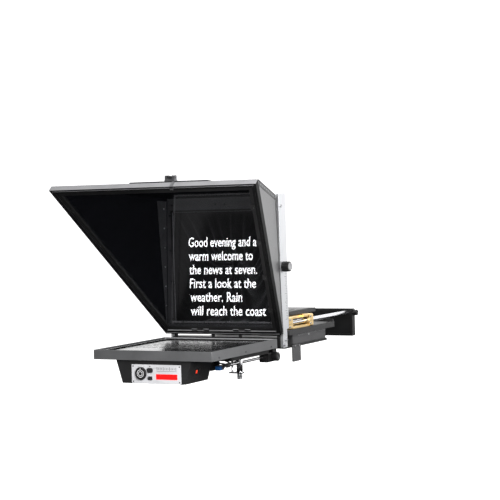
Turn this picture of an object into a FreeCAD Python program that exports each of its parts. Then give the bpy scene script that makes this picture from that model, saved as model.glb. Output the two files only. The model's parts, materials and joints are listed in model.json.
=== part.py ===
"""Camera-mounted teleprompter: hood, beam-splitter glass, monitor, arms, rods and balance plate.

Millimetres. +Z is up, -Y faces the presenter, +Y runs back past the camera.
The origin is the tripod screw's centre on the underside of the base plate.
"""
import math
import os

import FreeCAD
import Part

V = FreeCAD.Vector
AXES = {"x": V(1, 0, 0), "y": V(0, 1, 0), "z": V(0, 0, 1)}

# ---- driving dimensions -------------------------------------------------------------------
FIT = 0.05                      # radial clearance of every shaft in its hole

BASE_X, BASE_Y0, BASE_Y1, BASE_T = 88.0, -188.0, 122.0, 7.0
WEDGE_X, WEDGE_Y0, WEDGE_Y1, WEDGE_TOP = 80.0, -116.0, 126.0, 37.0
TRIPOD_R = 4.0                  # 3/8 in thread, taken at its bore
TOP_X, TOP_Y0, TOP_Y1, TOP_Z0, TOP_Z1 = 92.0, -166.0, 173.0, 39.0, 56.0

ROD_R, ROD_X, ROD_Z = 7.5, 75.0, 74.0
ROD_Y0, ROD_Y1 = -300.0, 326.0
BLOCK_X, BLOCK_Z1, BLOCK_T = 92.0, 95.0, 28.0
BLOCK_FRONT_Y, BLOCK_REAR_Y = -164.0, -17.0
LINER_R = 9.5
CAM_X, CAM_Y0, CAM_Y1, CAM_Z0, CAM_Z1 = 60.0, -165.0, 100.0, 95.0, 107.0
CAM_SCREW_R = 4.75              # 3/8 in camera screw
CAM_NECK_R = 3.6                # captive neck under the camera thread
STUD_Z0, STUD_Z1 = CAM_Z1 + 0.5, CAM_Z1 + 8.0
REAR_X, REAR_Y0, REAR_Y1, REAR_Z0, REAR_Z1 = 95.0, 308.0, 330.0, -4.0, 87.0

BAR_X, BAR_Y0, BAR_Y1, BAR_Z0, BAR_Z1 = 181.5, -408.0, -363.0, 26.0, 56.0
UP_X0, UP_X1, UP_Z0, UP_Z1 = 182.0, 190.0, 80.0, 480.0
KNOB_Y, KNOB_Z = -390.0, 264.0
HOOD_LIFT = 60.0                # height travel of the hood on its uprights

ARM_X, ARM_Z, ARM_R = 150.0, 2.3, 4.0
ARM_Y0, ARM_Y1 = -675.0, -398.0
POST_Y, POST_R = -606.0, 9.0

MON_X, MON_Y0, MON_Y1, MON_Z0, MON_Z1 = 190.0, -837.5, -442.5, 29.0, 56.0
LCD_X, LCD_Y0, LCD_Y1 = 169.0, -812.0, -456.0   # window over the display panel
PAN_X, PAN_Y0, PAN_Y1, PAN_Z0 = 176.0, -700.0, -470.0, 16.0

BOX_TOP_X, BOX_LOW_X = 120.0, 101.0
BOX_Y0, BOX_Y1, BOX_Z0, BOX_Z1 = -830.0, -705.0, -36.0, 29.0
PANEL_X0, PANEL_X1, PANEL_Z0, PANEL_Z1 = -70.0, 88.0, -35.5, 17.0
DIAL_X, DIAL_Z, DIAL_R = -39.0, -8.0, 17.5
KEY_X, KEY_HIGH_Z, KEY_LOW_Z = -11.0, 1.0, -21.0
CUE_X0, CUE_X1, CUE_Z0, CUE_Z1 = 8.0, 76.0, -24.0, -9.0
ROCKER_Y, ROCKER_Z = -781.0, -4.0

RIM_Y, RIM_Z = -427.0, 64.5     # bottom edge of the sloping hood mouth
RIM_ANGLE = 48.0                # slope of the mouth above the horizontal
RIM_LEN = 594.0                 # length of the mouth up its slope
RIM_LOW_X, RIM_TOP_X = 195.0, 332.0
RIM_W, RIM_D = 14.0, 18.0
BACK_TOP_X, BACK_Y, BACK_Z0, BACK_Z1 = 184.0, -416.0, 67.0, 475.0
SHEET = 3.0
OPEN_X, OPEN_Z0, OPEN_Z1 = 165.0, 100.0, 430.0
RAIL_T = 4.0
LENS_Z = 265.0
PIVOT_S, PIVOT_D = 17.0, -4.0   # axis of the glass frame's hinge, in the mouth's own frame
ROCKER_DEPTH = 2.0              # axis of the power rocker below the housing's side


# ---- helpers -------------------------------------------------------------------------------
def box(x0, x1, y0, y1, z0, z1):
    return Part.makeBox(x1 - x0, y1 - y0, z1 - z0, V(x0, y0, z0))


def cyl(axis, radius, start, end, a, b):
    """Cylinder along a world axis; a and b are the two other coordinates, in X Y Z order."""
    where = {"x": V(start, a, b), "y": V(a, start, b), "z": V(a, b, start)}[axis]
    return Part.makeCylinder(radius, end - start, where, AXES[axis])


def edges_along(shape, axis):
    def along(edge):
        return abs(edge.tangentAt(edge.FirstParameter).dot(AXES[axis])) > 0.99
    return [e for e in shape.Edges if isinstance(e.Curve, Part.Line) and along(e)]


def round_box(limits, radius, axis="z"):
    body = box(*limits)
    return body.makeFillet(radius, edges_along(body, axis))


def soft_box(limits, radius):
    body = box(*limits)
    return body.makeFillet(radius, body.Edges)


def prism(points, direction):
    wire = Part.makePolygon([V(*p) for p in list(points) + [points[0]]])
    return Part.Face(wire).extrude(V(*direction))


def mirrored(shape):
    return shape.mirror(V(0, 0, 0), AXES["x"])


def both_sides(shape):
    return [shape, mirrored(shape)]


def fuse(shapes):
    return shapes[0].fuse(shapes[1:]).removeSplitter()


def group(shapes):
    solids = []
    for shape in shapes:
        solids += shape.Solids
    return Part.makeCompound(solids)


def cap_screw(axis, head_r, head_h, shank_r, shank, seat, a, b, sign=1):
    """Socket-head screw; the head stands off the seat towards sign, the shank runs the other way."""
    low, high = sorted((seat, seat + sign * head_h))
    head = cyl(axis, head_r, low, high, a, b)
    low_s, high_s = sorted((seat, seat - sign * shank))
    stem = cyl(axis, shank_r, low_s, high_s, a, b)
    hexagon = cyl(axis, head_r * 0.45, *sorted((seat + sign * head_h * 0.45, seat + sign * head_h)), a, b)
    return head.fuse(stem).cut(hexagon)


def lobed_knob(radius, length, stud_r, stud_len, lobes=7):
    """Clamp knob along +X with its seat at X 0 and its stud reaching back along -X."""
    body = Part.makeCylinder(radius, length, V(0, 0, 0), AXES["x"])
    rim = [e for e in body.Edges if e.Closed and abs(e.CenterOfMass.x - length) < 0.01]
    body = body.makeFillet(min(2.0, length * 0.2), rim)
    for i in range(lobes):
        turn = 2 * math.pi * i / lobes
        dip = V(-1, 1.16 * radius * math.cos(turn), 1.16 * radius * math.sin(turn))
        body = body.cut(Part.makeCylinder(radius * 0.27, length + 2, dip, AXES["x"]))
    stud = Part.makeCylinder(stud_r, stud_len + 1, V(-stud_len, 0, 0), AXES["x"])
    return body.fuse(stud).removeSplitter()


def rim_place(shape):
    """From the mouth's own frame (x across, y up the slope, z out of the mouth) to the world."""
    shape.Placement = FreeCAD.Placement(V(0, RIM_Y, RIM_Z), FreeCAD.Rotation(AXES["x"], 180.0 - RIM_ANGLE))
    return shape


def rim_point(s, d):
    """World Y and Z of a point s up the mouth's slope and d out of it."""
    turn = math.radians(180.0 - RIM_ANGLE)
    return (RIM_Y + s * math.cos(turn) - d * math.sin(turn),
            RIM_Z + s * math.sin(turn) + d * math.cos(turn))


def rim_half(s):
    return RIM_LOW_X + (RIM_TOP_X - RIM_LOW_X) * s / RIM_LEN


def trapezoid(inset, d0, d1):
    """Plate that follows the mouth's outline, set in by inset, from depth d0 to d1."""
    lean = math.atan2(RIM_TOP_X - RIM_LOW_X, RIM_LEN)
    side = inset / math.cos(lean)
    low, high = inset, RIM_LEN - inset
    pts = [(-rim_half(low) + side, low, d0), (rim_half(low) - side, low, d0),
           (rim_half(high) - side, high, d0), (-rim_half(high) + side, high, d0)]
    return prism(pts, (0, 0, d1 - d0))


# ---- base and balance slide ------------------------------------------------------------------
BASE_SCREWS = [(x, y) for x in (-55.0, 55.0) for y in (-90.0, 100.0)]


def base_plate():
    plate = round_box((-BASE_X, BASE_X, BASE_Y0, BASE_Y1, 0, BASE_T), 6)
    plate = plate.cut(cyl("z", TRIPOD_R, -1, BASE_T + 1, 0, 0))
    plate = plate.cut(cyl("z", 2.6, -1, BASE_T + 1, 0, 40))
    for x, y in BASE_SCREWS:
        plate = plate.cut(cyl("z", 5.6, -1, 4.0, x, y)).cut(cyl("z", 3.1, -1, BASE_T + 1, x, y))
    for y in (-128.0, -100.0):
        plate = plate.cut(cyl("x", 2.0 + FIT, BASE_X - 10, BASE_X + 1, y, 3.5))
    return plate


def dovetail(grow, y0, y1):
    low, high = 26.0 + grow, 21.0 + grow
    z0, z1 = 28.0 - grow, TOP_Z0
    pts = [(-low, y0, z0), (low, y0, z0), (high, y0, z1), (-high, y0, z1)]
    return prism(pts, (0, y1 - y0, 0))


def wedge_block():
    body = round_box((-WEDGE_X, WEDGE_X, WEDGE_Y0, WEDGE_Y1, BASE_T, WEDGE_TOP), 3)
    body = body.cut(dovetail(0.4, WEDGE_Y0 - 5, WEDGE_Y1 + 5))
    for x0, y0, y1 in ((38, -75, 0), (-72, -75, 0), (38, 38, 85), (-72, 38, 85)):
        body = body.cut(round_box((x0, x0 + 34, y0, y1, BASE_T - 1, WEDGE_TOP - 6), 5))
    body = body.cut(cyl("z", 8.0, BASE_T - 1, 24.0, 0, 0)).cut(cyl("z", 4.0, BASE_T - 1, 18.0, 0, 40))
    for x, y in BASE_SCREWS:
        body = body.cut(cyl("z", 3.0 + FIT, BASE_T - 1, 22.0, x, y))
    return body.cut(cyl("x", 4.0 + FIT, -WEDGE_X - 1, -32.0, 20.0, 22.0))


def badge_cheek():
    plate = round_box((BASE_X, BASE_X + 4.0, -142, -86, -45, BASE_T), 4, "x")
    for y in (-128.0, -100.0):
        plate = plate.cut(cyl("x", 2.0 + FIT, BASE_X - 1, BASE_X + 5, y, 3.5))
    return plate


def base_screws():
    under = [cap_screw("z", 5.4, 3.6, 3.0, 16.0, 4.0, x, y, -1) for x, y in BASE_SCREWS]
    side = [cap_screw("x", 3.2, 2.4, 2.0, 12.0, BASE_X + 4.0, y, 3.5) for y in (-128.0, -100.0)]
    return group(under + side)


def balance_lever():
    stem = cyl("x", 4.0, -WEDGE_X - 13, -33.0, 20.0, 22.0)
    hub = cyl("x", 8.5, -WEDGE_X - 21, -WEDGE_X - 1, 20.0, 22.0)
    arm = round_box((-101.0, -94.0, -42.0, 20.0, 17.5, 26.5), 3, "x")
    tip = cyl("x", 7.0, -103.0, -93.5, -40.0, 22.0)
    return fuse([hub, stem, arm, tip])


# ---- carriage ----------------------------------------------------------------------------------
PLATE_SCREWS = [(x, y) for x in (-50.0, 50.0) for y in (BLOCK_FRONT_Y + 14, BLOCK_REAR_Y + 14)]
CAM_SCREWS = [(x, y) for x in (-44.0, 44.0) for y in (BLOCK_FRONT_Y + 14, BLOCK_REAR_Y + 14)]


def top_plate():
    plate = round_box((-TOP_X, TOP_X, TOP_Y0, TOP_Y1, TOP_Z0, TOP_Z1), 4)
    lip = box(-TOP_X + 4, TOP_X - 4, TOP_Y1 - 5, TOP_Y1, TOP_Z1, TOP_Z1 + 8)
    groove = [box(s * 84 - 3, s * 84 + 3, TOP_Y0 - 1, TOP_Y1 + 1, TOP_Z0 - 1, TOP_Z0 + 3) for s in (-1, 1)]
    body = fuse([plate, lip, dovetail(0, -150, 150)])
    for tool in groove:
        body = body.cut(tool)
    for x0 in (-77, 33):
        for y0 in (-92, 44):
            body = body.cut(round_box((x0, x0 + 44, y0, y0 + 62, TOP_Z0 - 1, TOP_Z1 - 5), 5))
    for x, y in PLATE_SCREWS:
        body = body.cut(cyl("z", 5.2, TOP_Z0 - 1, 45.0, x, y)).cut(cyl("z", 2.5 + FIT, 44, 57, x, y))
    return body


def rod_block_gold(y0, knob_hole):
    y1 = y0 + BLOCK_T
    body = round_box((-BLOCK_X, BLOCK_X, y0, y1, TOP_Z1, BLOCK_Z1), 4, "y")
    body = body.cut(round_box((-52, 52, y0 - 1, y1 + 1, 66, 85), 5, "y"))
    for s in (-1, 1):
        body = body.cut(cyl("y", LINER_R + FIT, y0 - 1, y1 + 1, s * ROD_X, ROD_Z))
    for x, y in PLATE_SCREWS:
        body = body.cut(cyl("z", 2.5 + FIT, TOP_Z1 - 1, 64.0, x, y))
    for x, y in CAM_SCREWS:
        body = body.cut(cyl("z", 2.5 + FIT, 87.0, BLOCK_Z1 + 1, x, y))
    if knob_hole:
        body = body.cut(cyl("x", 3.0 + FIT, -BLOCK_X - 1, -ROD_X - 5, y0 + 14, ROD_Z))
    return body


def carriage_blocks():
    return group([rod_block_gold(BLOCK_FRONT_Y, False), rod_block_gold(BLOCK_REAR_Y, True)])


def carriage_bars():
    y0, y1 = BLOCK_FRONT_Y + BLOCK_T, BLOCK_REAR_Y
    high = round_box((78, 90, y0, y1, 87, BLOCK_Z1), 1.5, "y")
    high = high.cut(box(81, 91, y0 + 30, y1 - 38, 90.5, BLOCK_Z1 + 1))
    low = round_box((78, 90, y0, y1, TOP_Z1, 64), 1.5, "y")
    return group(both_sides(high) + both_sides(low))


def rod_liners():
    liners = []
    for y0 in (BLOCK_FRONT_Y, BLOCK_REAR_Y):
        for s in (-1, 1):
            sleeve = cyl("y", LINER_R, y0 + 1, y0 + BLOCK_T - 1, s * ROD_X, ROD_Z)
            liners.append(sleeve.cut(cyl("y", ROD_R + FIT, y0, y0 + BLOCK_T, s * ROD_X, ROD_Z)))
    return group(liners)


def camera_plate():
    plate = round_box((-CAM_X, CAM_X, CAM_Y0, CAM_Y1, CAM_Z0, CAM_Z1), 5)
    half = CAM_SCREW_R + 0.08
    slot = box(-half, half, -85, 0, CAM_Z0 - 1, CAM_Z1 + 1)
    for y in (-85, 0):
        slot = slot.fuse(cyl("z", half, CAM_Z0 - 1, CAM_Z1 + 1, 0, y))
    plate = plate.cut(slot)
    for s in (-1, 1):
        plate = plate.cut(round_box((s * 28 - 5, s * 28 + 5, -95, 5, CAM_Z0 - 1, CAM_Z1 + 1), 4.9))
    for x, y in CAM_SCREWS:
        plate = plate.cut(cyl("z", 4.4, 102, CAM_Z1 + 1, x, y)).cut(cyl("z", 2.5 + FIT, 94, 108, x, y))
    return plate


def camera_screw():
    head = Part.makeCylinder(15, 9, V(0, -42, 85))
    for i in range(16):
        turn = 2 * math.pi * i / 16
        head = head.cut(Part.makeCylinder(1.4, 11, V(15.4 * math.cos(turn), -42 + 15.4 * math.sin(turn), 84)))
    neck = cyl("z", CAM_NECK_R, 90, STUD_Z0, 0, -42)
    return fuse([head, neck, cyl("z", CAM_SCREW_R, STUD_Z0, STUD_Z1, 0, -42)])


def carriage_screws():
    under = [cap_screw("z", 4.8, 4.5, 2.5, 16.0, 45.0, x, y, -1) for x, y in PLATE_SCREWS]
    over = [cap_screw("z", 4.2, 4.5, 2.5, 13.0, 102.0, x, y, 1) for x, y in CAM_SCREWS]
    return group(under + over)


def carriage_knob():
    knob = lobed_knob(12, 18, 3.0, 6.0)
    return mirrored(knob.translated(V(BLOCK_X + 0.4, BLOCK_REAR_Y + 14, ROD_Z)))


# ---- rods, uprights and brackets ------------------------------------------------------------------
def main_rods():
    rod = cyl("y", ROD_R, ROD_Y0, ROD_Y1, ROD_X, ROD_Z)
    rod = rod.makeChamfer(0.8, [e for e in rod.Edges if e.Closed])
    return group(both_sides(rod))


def rear_plate():
    body = round_box((-REAR_X, REAR_X, REAR_Y0, REAR_Y1, REAR_Z0, REAR_Z1), 3, "y")
    body = body.cut(box(-60, 60, REAR_Y0 - 1, REAR_Y0 + 5, REAR_Z0 + 8, REAR_Z1 - 8))
    body = body.cut(box(-REAR_X + 8, REAR_X - 8, REAR_Y0 - 1, REAR_Y0 + 5, REAR_Z0 + 8, 58))
    for s in (-1, 1):
        body = body.cut(cyl("y", ROD_R + FIT, REAR_Y0 - 1, REAR_Y1 - 3, s * ROD_X, ROD_Z))
    return body.cut(cyl("x", 3.0 + FIT, 80.0, REAR_X + 1, 319, ROD_Z))


def rear_knob():
    return lobed_knob(9.5, 14, 3.0, 11.0, 5).translated(V(REAR_X + 0.4, 319, ROD_Z))


def rod_bridge():
    spine = box(-80, 80, BAR_Y1, -262, 44, TOP_Z1)
    block = round_box((-92, 92, -300, -262, TOP_Z1, 92), 4, "y")
    body = fuse([spine, block])
    body = body.cut(round_box((-50, 50, -345, -308, 43, TOP_Z1 + 1), 6))
    for s in (-1, 1):
        body = body.cut(cyl("y", ROD_R + FIT, ROD_Y0 - 1, -261, s * ROD_X, ROD_Z))
    return body


FOOT_SCREWS = [(-397.0, 34.0), (-383.0, 48.0)]
GUIDE_YZ = (-395.0, 442.0)
REST_X = (46.0, 174.0)


def cross_bar():
    body = round_box((-BAR_X, BAR_X, BAR_Y0, BAR_Y1, BAR_Z0, BAR_Z1), 2.5, "x")
    body = body.cut(box(-160, 160, BAR_Y0 + 3, BAR_Y1 - 3, BAR_Z0 + 3, BAR_Z1 - 3))
    for s in (-1, 1):
        x0, x1 = sorted((s * 170, s * (BAR_X + 1)))
        for y, z in FOOT_SCREWS:
            body = body.cut(cyl("x", 2.5 + FIT, x0, x1, y, z))
    return body


def uprights():
    main = box(UP_X0, UP_X1, BAR_Y0, BAR_Y1, UP_Z0, UP_Z1)
    foot = box(UP_X0, UP_X1, -404, -376, BAR_Z0, UP_Z0)
    body = fuse([main, foot])
    body = body.makeFillet(2.5, [e for e in edges_along(body, "x") if e.CenterOfMass.z > UP_Z1 - 1])
    body = body.makeFillet(0.8, edges_along(body, "z")[:2])
    body = body.cut(cyl("x", 3.0 + FIT, UP_X0 - 1, UP_X1 + 1, KNOB_Y, KNOB_Z))
    for y, z in FOOT_SCREWS + [GUIDE_YZ]:
        body = body.cut(cyl("x", 2.5 + FIT, UP_X0 - 1, UP_X1 + 1, y, z))
    return group(both_sides(body))


def upright_screws():
    screws = [cap_screw("x", 4.5, 3.0, 2.5, 16.0, UP_X1, y, z) for y, z in FOOT_SCREWS]
    screws.append(cap_screw("x", 4.5, 2.0, 2.5, 15.0, UP_X1, *GUIDE_YZ))
    pieces = []
    for screw in screws:
        pieces += both_sides(screw)
    return group(pieces)


def hood_rests():
    posts = []
    for x in REST_X:
        post = fuse([cyl("z", 5.5, BAR_Z1, BAR_Z1 + 7.5, x, -400), cyl("z", 4, BAR_Z1, BAR_Z1 + 10.5, x, -400)])
        posts += both_sides(post)
    return group(posts)


def clamp_nuts():
    hexagon = Part.makePolygon([V(169.0, KNOB_Y + 8 * math.cos(math.pi * i / 3),
                                  KNOB_Z + 8 * math.sin(math.pi * i / 3)) for i in range(7)])
    nut = Part.Face(hexagon).extrude(V(7.6, 0, 0))
    return group(both_sides(nut.cut(cyl("x", 3.0 + FIT, 168, 178, KNOB_Y, KNOB_Z))))


def hood_knob():
    return lobed_knob(15, 22, 3.0, 20.5).translated(V(UP_X1 + 0.4, KNOB_Y, KNOB_Z))


# ---- arms -----------------------------------------------------------------------------------------
def arm_blocks():
    block = round_box((135, 165, -454, -395, -13, 14), 4, "y")
    hanger = box(138, 162, -418, -395, 10, BAR_Z0)
    body = fuse([block, hanger])
    body = body.cut(cyl("y", ARM_R + FIT, -455, -394, ARM_X, ARM_Z))
    body = body.cut(cyl("x", 3.0 + FIT, ARM_X, 166, -425, ARM_Z))
    body = body.cut(box(134, ARM_X, -455, -422, ARM_Z - 0.75, ARM_Z + 0.75))
    return group(both_sides(body))


def arm_knob():
    return lobed_knob(13, 18, 3.0, 10.5).translated(V(165.4, -425, ARM_Z))


def arm_rods():
    rod = cyl("y", ARM_R, ARM_Y0, ARM_Y1, ARM_X, ARM_Z)
    return group(both_sides(rod))


def arm_caps():
    cap = cyl("y", 6.5, ARM_Y0 - 9, ARM_Y0 + 6, ARM_X, ARM_Z)
    cap = cap.makeFillet(2, [e for e in cap.Edges if e.Closed and e.CenterOfMass.y < ARM_Y0 - 8])
    return group(both_sides(cap.cut(cyl("y", ARM_R + FIT, ARM_Y0, ARM_Y0 + 7, ARM_X, ARM_Z))))


# ---- monitor --------------------------------------------------------------------------------------
def monitor_frame():
    body = round_box((-MON_X, MON_X, MON_Y0, MON_Y1, MON_Z0, MON_Z1), 2)
    body = body.cut(box(-MON_X + 4, MON_X - 4, MON_Y0 + 4, MON_Y1 - 4, MON_Z0 + 3, MON_Z1 + 1))
    return body.cut(box(-PAN_X - 1, PAN_X + 1, PAN_Y0 - 1, PAN_Y1 + 1, MON_Z0 - 1, MON_Z0 + 4))


def monitor_bezel():
    ring = box(-MON_X + 4.2, MON_X - 4.2, MON_Y0 + 4.2, MON_Y1 - 4.2, 50, 53)
    return ring.cut(box(-LCD_X, LCD_X, LCD_Y0, LCD_Y1, 49, 54))


def rear_bezel():
    return soft_box((-MON_X + 5, MON_X - 5, LCD_Y1 + 3, MON_Y1 - 5, 53, 55.6), 0.8)


def lcd_panel():
    return box(-LCD_X - 4, LCD_X + 4, LCD_Y0 - 4, LCD_Y1 + 4, 45, 50)


def lcd_backlight():
    light = box(-LCD_X - 4, LCD_X + 4, LCD_Y0 - 4, LCD_Y1 + 4, 39, 45)
    return light.cut(box(-LCD_X + 8, LCD_X - 8, LCD_Y0 + 8, LCD_Y1 - 8, 38, 41))


def back_pan():
    body = round_box((-PAN_X, PAN_X, PAN_Y0, PAN_Y1, PAN_Z0, 38), 4)
    body = body.cut(box(-PAN_X + 2, PAN_X - 2, PAN_Y0 + 2, PAN_Y1 - 2, PAN_Z0 + 2, 39))
    for i in range(9):
        for s in (-1, 1):
            x = s * (40 + 10 * i)
            body = body.cut(round_box((x - 2, x + 2, -560, -500, PAN_Z0 - 1, PAN_Z0 + 3), 1.9))
    return body


def driver_board():
    board = box(-150, -20, -690, -590, 22, 23.6)
    chips = [box(-120, -90, -660, -630, 23.6, 27), box(-70, -50, -640, -620, 23.6, 26)]
    legs = [cyl("z", 3, PAN_Z0 + 2, 22, x, y) for x in (-145, -25) for y in (-684, -596)]
    return fuse([board] + chips + legs)


def trapezoid_y(inset, y0, y1, z0, z1):
    def half(z):
        return BOX_LOW_X + (BOX_TOP_X - BOX_LOW_X) * (z - BOX_Z0) / (BOX_Z1 - BOX_Z0) - inset
    pts = [(-half(z0), y0, z0), (half(z0), y0, z0), (half(z1), y0, z1), (-half(z1), y0, z1)]
    return prism(pts, (0, y1 - y0, 0))


def side_place(shape):
    """Put a shape drawn around the origin (+X outwards) on the control housing's sloping side."""
    lean = math.degrees(math.atan2(BOX_TOP_X - BOX_LOW_X, BOX_Z1 - BOX_Z0))
    x = BOX_LOW_X + (BOX_TOP_X - BOX_LOW_X) * (ROCKER_Z - BOX_Z0) / (BOX_Z1 - BOX_Z0)
    shape.Placement = FreeCAD.Placement(V(x, ROCKER_Y, ROCKER_Z), FreeCAD.Rotation(AXES["y"], lean))
    return shape


def control_housing():
    body = trapezoid_y(0, BOX_Y0, BOX_Y1, BOX_Z0, BOX_Z1)
    body = body.cut(trapezoid_y(3, BOX_Y0 + 5, BOX_Y1 - 3, BOX_Z0 + 3, BOX_Z1 - 3))
    body = body.cut(box(PANEL_X0, PANEL_X1, BOX_Y0 - 1, BOX_Y0 + 2, PANEL_Z0, PANEL_Z1))
    body = body.cut(box(CUE_X0, CUE_X1, BOX_Y0, BOX_Y0 + 6, CUE_Z0, CUE_Z1))
    body = body.cut(cyl("y", 4.0 + FIT, BOX_Y0, BOX_Y0 + 6, DIAL_X, DIAL_Z))
    for z in (KEY_HIGH_Z, KEY_LOW_Z):
        body = body.cut(cyl("y", 2.5 + FIT, BOX_Y0, BOX_Y0 + 6, KEY_X, z))
    body = body.cut(side_place(box(-8, 5, -14.4, 14.4, -10.4, 10.4)))
    return fuse([body, rocker_bezel()])


def key_shape(grow, z, half_w, half_h, y0, y1):
    return round_box((KEY_X - half_w - grow, KEY_X + half_w + grow, y0, y1,
                      z - half_h - grow, z + half_h + grow), half_h * 0.7, "y")


def control_panel():
    plate = box(PANEL_X0, PANEL_X1, BOX_Y0 - 0.6, BOX_Y0 + 2, PANEL_Z0, PANEL_Z1)
    plate = plate.cut(cyl("y", 4.0 + FIT, BOX_Y0 - 2, BOX_Y0 + 3, DIAL_X, DIAL_Z))
    plate = plate.cut(key_shape(0.3, KEY_HIGH_Z, 9, 6.5, BOX_Y0 - 2, BOX_Y0 + 3))
    plate = plate.cut(key_shape(0.3, KEY_LOW_Z, 7, 5, BOX_Y0 - 2, BOX_Y0 + 3))
    return plate.cut(box(CUE_X0, CUE_X1, BOX_Y0 - 2, BOX_Y0 + 3, CUE_Z0, CUE_Z1))


def push_key(z, half_w, half_h):
    cap = key_shape(0, z, half_w, half_h, BOX_Y0 - 3.0, BOX_Y0 + 0.3)
    cap = cap.makeFillet(0.8, [e for e in cap.Edges if abs(e.CenterOfMass.y - BOX_Y0 + 3.0) < 0.01])
    return fuse([cap, cyl("y", 2.5, BOX_Y0, BOX_Y0 + 7, KEY_X, z)])


def control_dial():
    y = BOX_Y0 - 1.0
    disc = cyl("y", DIAL_R, y - 5, y, DIAL_X, DIAL_Z)
    disc = disc.makeFillet(1.2, [e for e in disc.Edges if e.Closed and e.CenterOfMass.y < y - 4.9])
    disc = disc.cut(cyl("y", 9.5, y - 6, y - 3.5, DIAL_X, DIAL_Z).cut(cyl("y", 5, y - 7, y, DIAL_X, DIAL_Z)))
    return fuse([disc, cyl("y", 4.0, y - 1, BOX_Y0 + 9, DIAL_X, DIAL_Z)])


def cue_window():
    return box(CUE_X0 + 0.1, CUE_X1 - 0.1, BOX_Y0 - 0.8, BOX_Y0 + 4, CUE_Z0 + 0.1, CUE_Z1 - 0.1)


def cue_light_board():
    board = box(2, 82, -820, -818.4, -30, 8)
    leds = [cyl("y", 2.5, -823.5, -820, x, -16.5) for x in (14, 28, 42, 56, 70)]
    legs = [box(x, x + 4, -820, -812, -33, -30) for x in (6, 74)]
    return fuse([board] + leds + legs)


def power_rocker():
    outline = [(-5, -12, -8), (1.2, -12, -8), (2.8, 0, -8), (1.2, 12, -8), (-5, 12, -8)]
    pivot = cyl("z", 1.2, -9.3, 9.3, -ROCKER_DEPTH, 0)
    return side_place(fuse([prism(outline, (0, 0, 16)), pivot]))


def rocker_bezel():
    ring = round_box((-6, 1.2, -14.4, 14.4, -10.4, 10.4), 1.5, "x")
    ring = ring.cut(box(-7, 2, -12.6, 12.6, -8.3, 8.3))
    return side_place(ring.cut(cyl("z", 1.2 + FIT, -9.5, 9.5, -ROCKER_DEPTH, 0)))


def connector_block():
    body = round_box((40, 112, -702, -655, -12, PAN_Z0), 2)
    sockets = [round_box((112, 118, -690, -668, -9, 0), 3, "x"), cyl("x", 5, 112, 117, -680, 8)]
    sockets.append(cyl("x", 4, 112, 116, -664, 8).cut(cyl("x", 2, 113, 117, -664, 8)))
    return fuse([body] + sockets)


def video_cable():
    plug = round_box((118, 134, -692, -666, -11, 2), 2, "z")
    path = [V(126, -668, -4.5), V(124, -650, -6), V(104, -625, -6), V(100, -560, -5), V(100, -500, 3),
            V(100, -482, 9.0)]
    curve = Part.BSplineCurve()
    curve.interpolate(path)
    start = Part.Wire([Part.makeCircle(3.0, path[0], curve.tangent(0.0)[0])])
    cord = Part.Wire([curve.toShape()]).makePipeShell([start], True, False)
    saddle = round_box((90, 110, -494, -482, 12.6, PAN_Z0), 1)
    return fuse([plug, cord]).fuse(saddle)


def arm_posts():
    post = cyl("z", POST_R, -24, PAN_Z0, ARM_X, POST_Y)
    post = post.cut(cyl("y", ARM_R + FIT, POST_Y - 12, POST_Y + 12, ARM_X, ARM_Z))
    return group(both_sides(post.cut(cyl("z", 3.0 + FIT, -25, ARM_Z, ARM_X, POST_Y))))


def post_yokes():
    plate = round_box((119, 161, POST_Y - 9, POST_Y + 9, -28, -24), 2)
    plate = plate.cut(cyl("z", 3.0 + FIT, -29, -23, ARM_X, POST_Y))
    return group(both_sides(fuse([plate, cyl("z", 3.2, -28, PAN_Z0, 127, POST_Y)])))


def thumb_screw():
    head = cyl("z", 7.5, -44, -28.4, ARM_X, POST_Y)
    for i in range(14):
        turn = 2 * math.pi * i / 14
        x, y = ARM_X + 7.8 * math.cos(turn), POST_Y + 7.8 * math.sin(turn)
        head = head.cut(cyl("z", 0.9, -43, -31, x, y))
    return fuse([head, cyl("z", 3.0, -30, -2.2, ARM_X, POST_Y)])


# ---- hood -----------------------------------------------------------------------------------------
BACK_SCREWS = ([(side * 175.0, z) for side in (-1, 1) for z in (110.0, 223.0, 316.0, 421.0)]
               + [(x, 452.0) for x in (-166.0, -16.0, 16.0, 166.0)]
               + [(x, 93.5) for x in (-150.0, -50.0, 50.0, 150.0)])
CLIP_X = (38.0, 69.0)
HINGE_X = (50.0, 70.0, 90.0)    # middles of the knuckles: outer, middle and outer


def panel_z(y):
    """Height of the top panel's upper face at a given Y."""
    rim_y, rim_z = rim_point(RIM_LEN, -RIM_D)
    return BACK_Z1 + (rim_z - BACK_Z1) * (BACK_Y - y) / (BACK_Y - rim_y)


def back_low_corner():
    """Where the mouth's rear side edge meets the back frame: X and Z."""
    turn = math.radians(180.0 - RIM_ANGLE)
    s = (BACK_Y - RIM_Y - RIM_D * math.sin(turn)) / math.cos(turn)
    return rim_half(s), rim_point(s, -RIM_D)[1]


def back_half(z):
    """Half width of the back frame at a given height."""
    low_x, low_z = back_low_corner()
    return BACK_TOP_X + (low_x - BACK_TOP_X) * (BACK_Z1 - z) / (BACK_Z1 - low_z)


def behind_rim():
    """Everything behind the rim bars, as a big block to trim the panels with."""
    return rim_place(box(-500, 500, -400, 1000, -RIM_D - 800, -RIM_D))


def hood_top_panel():
    rim_y, rim_z = rim_point(RIM_LEN, -RIM_D)
    pts = [(-BACK_TOP_X, BACK_Y, BACK_Z1), (BACK_TOP_X, BACK_Y, BACK_Z1),
           (RIM_TOP_X, rim_y, rim_z), (-RIM_TOP_X, rim_y, rim_z)]
    return prism(pts, (0, 0, -SHEET)).common(behind_rim())


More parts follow.
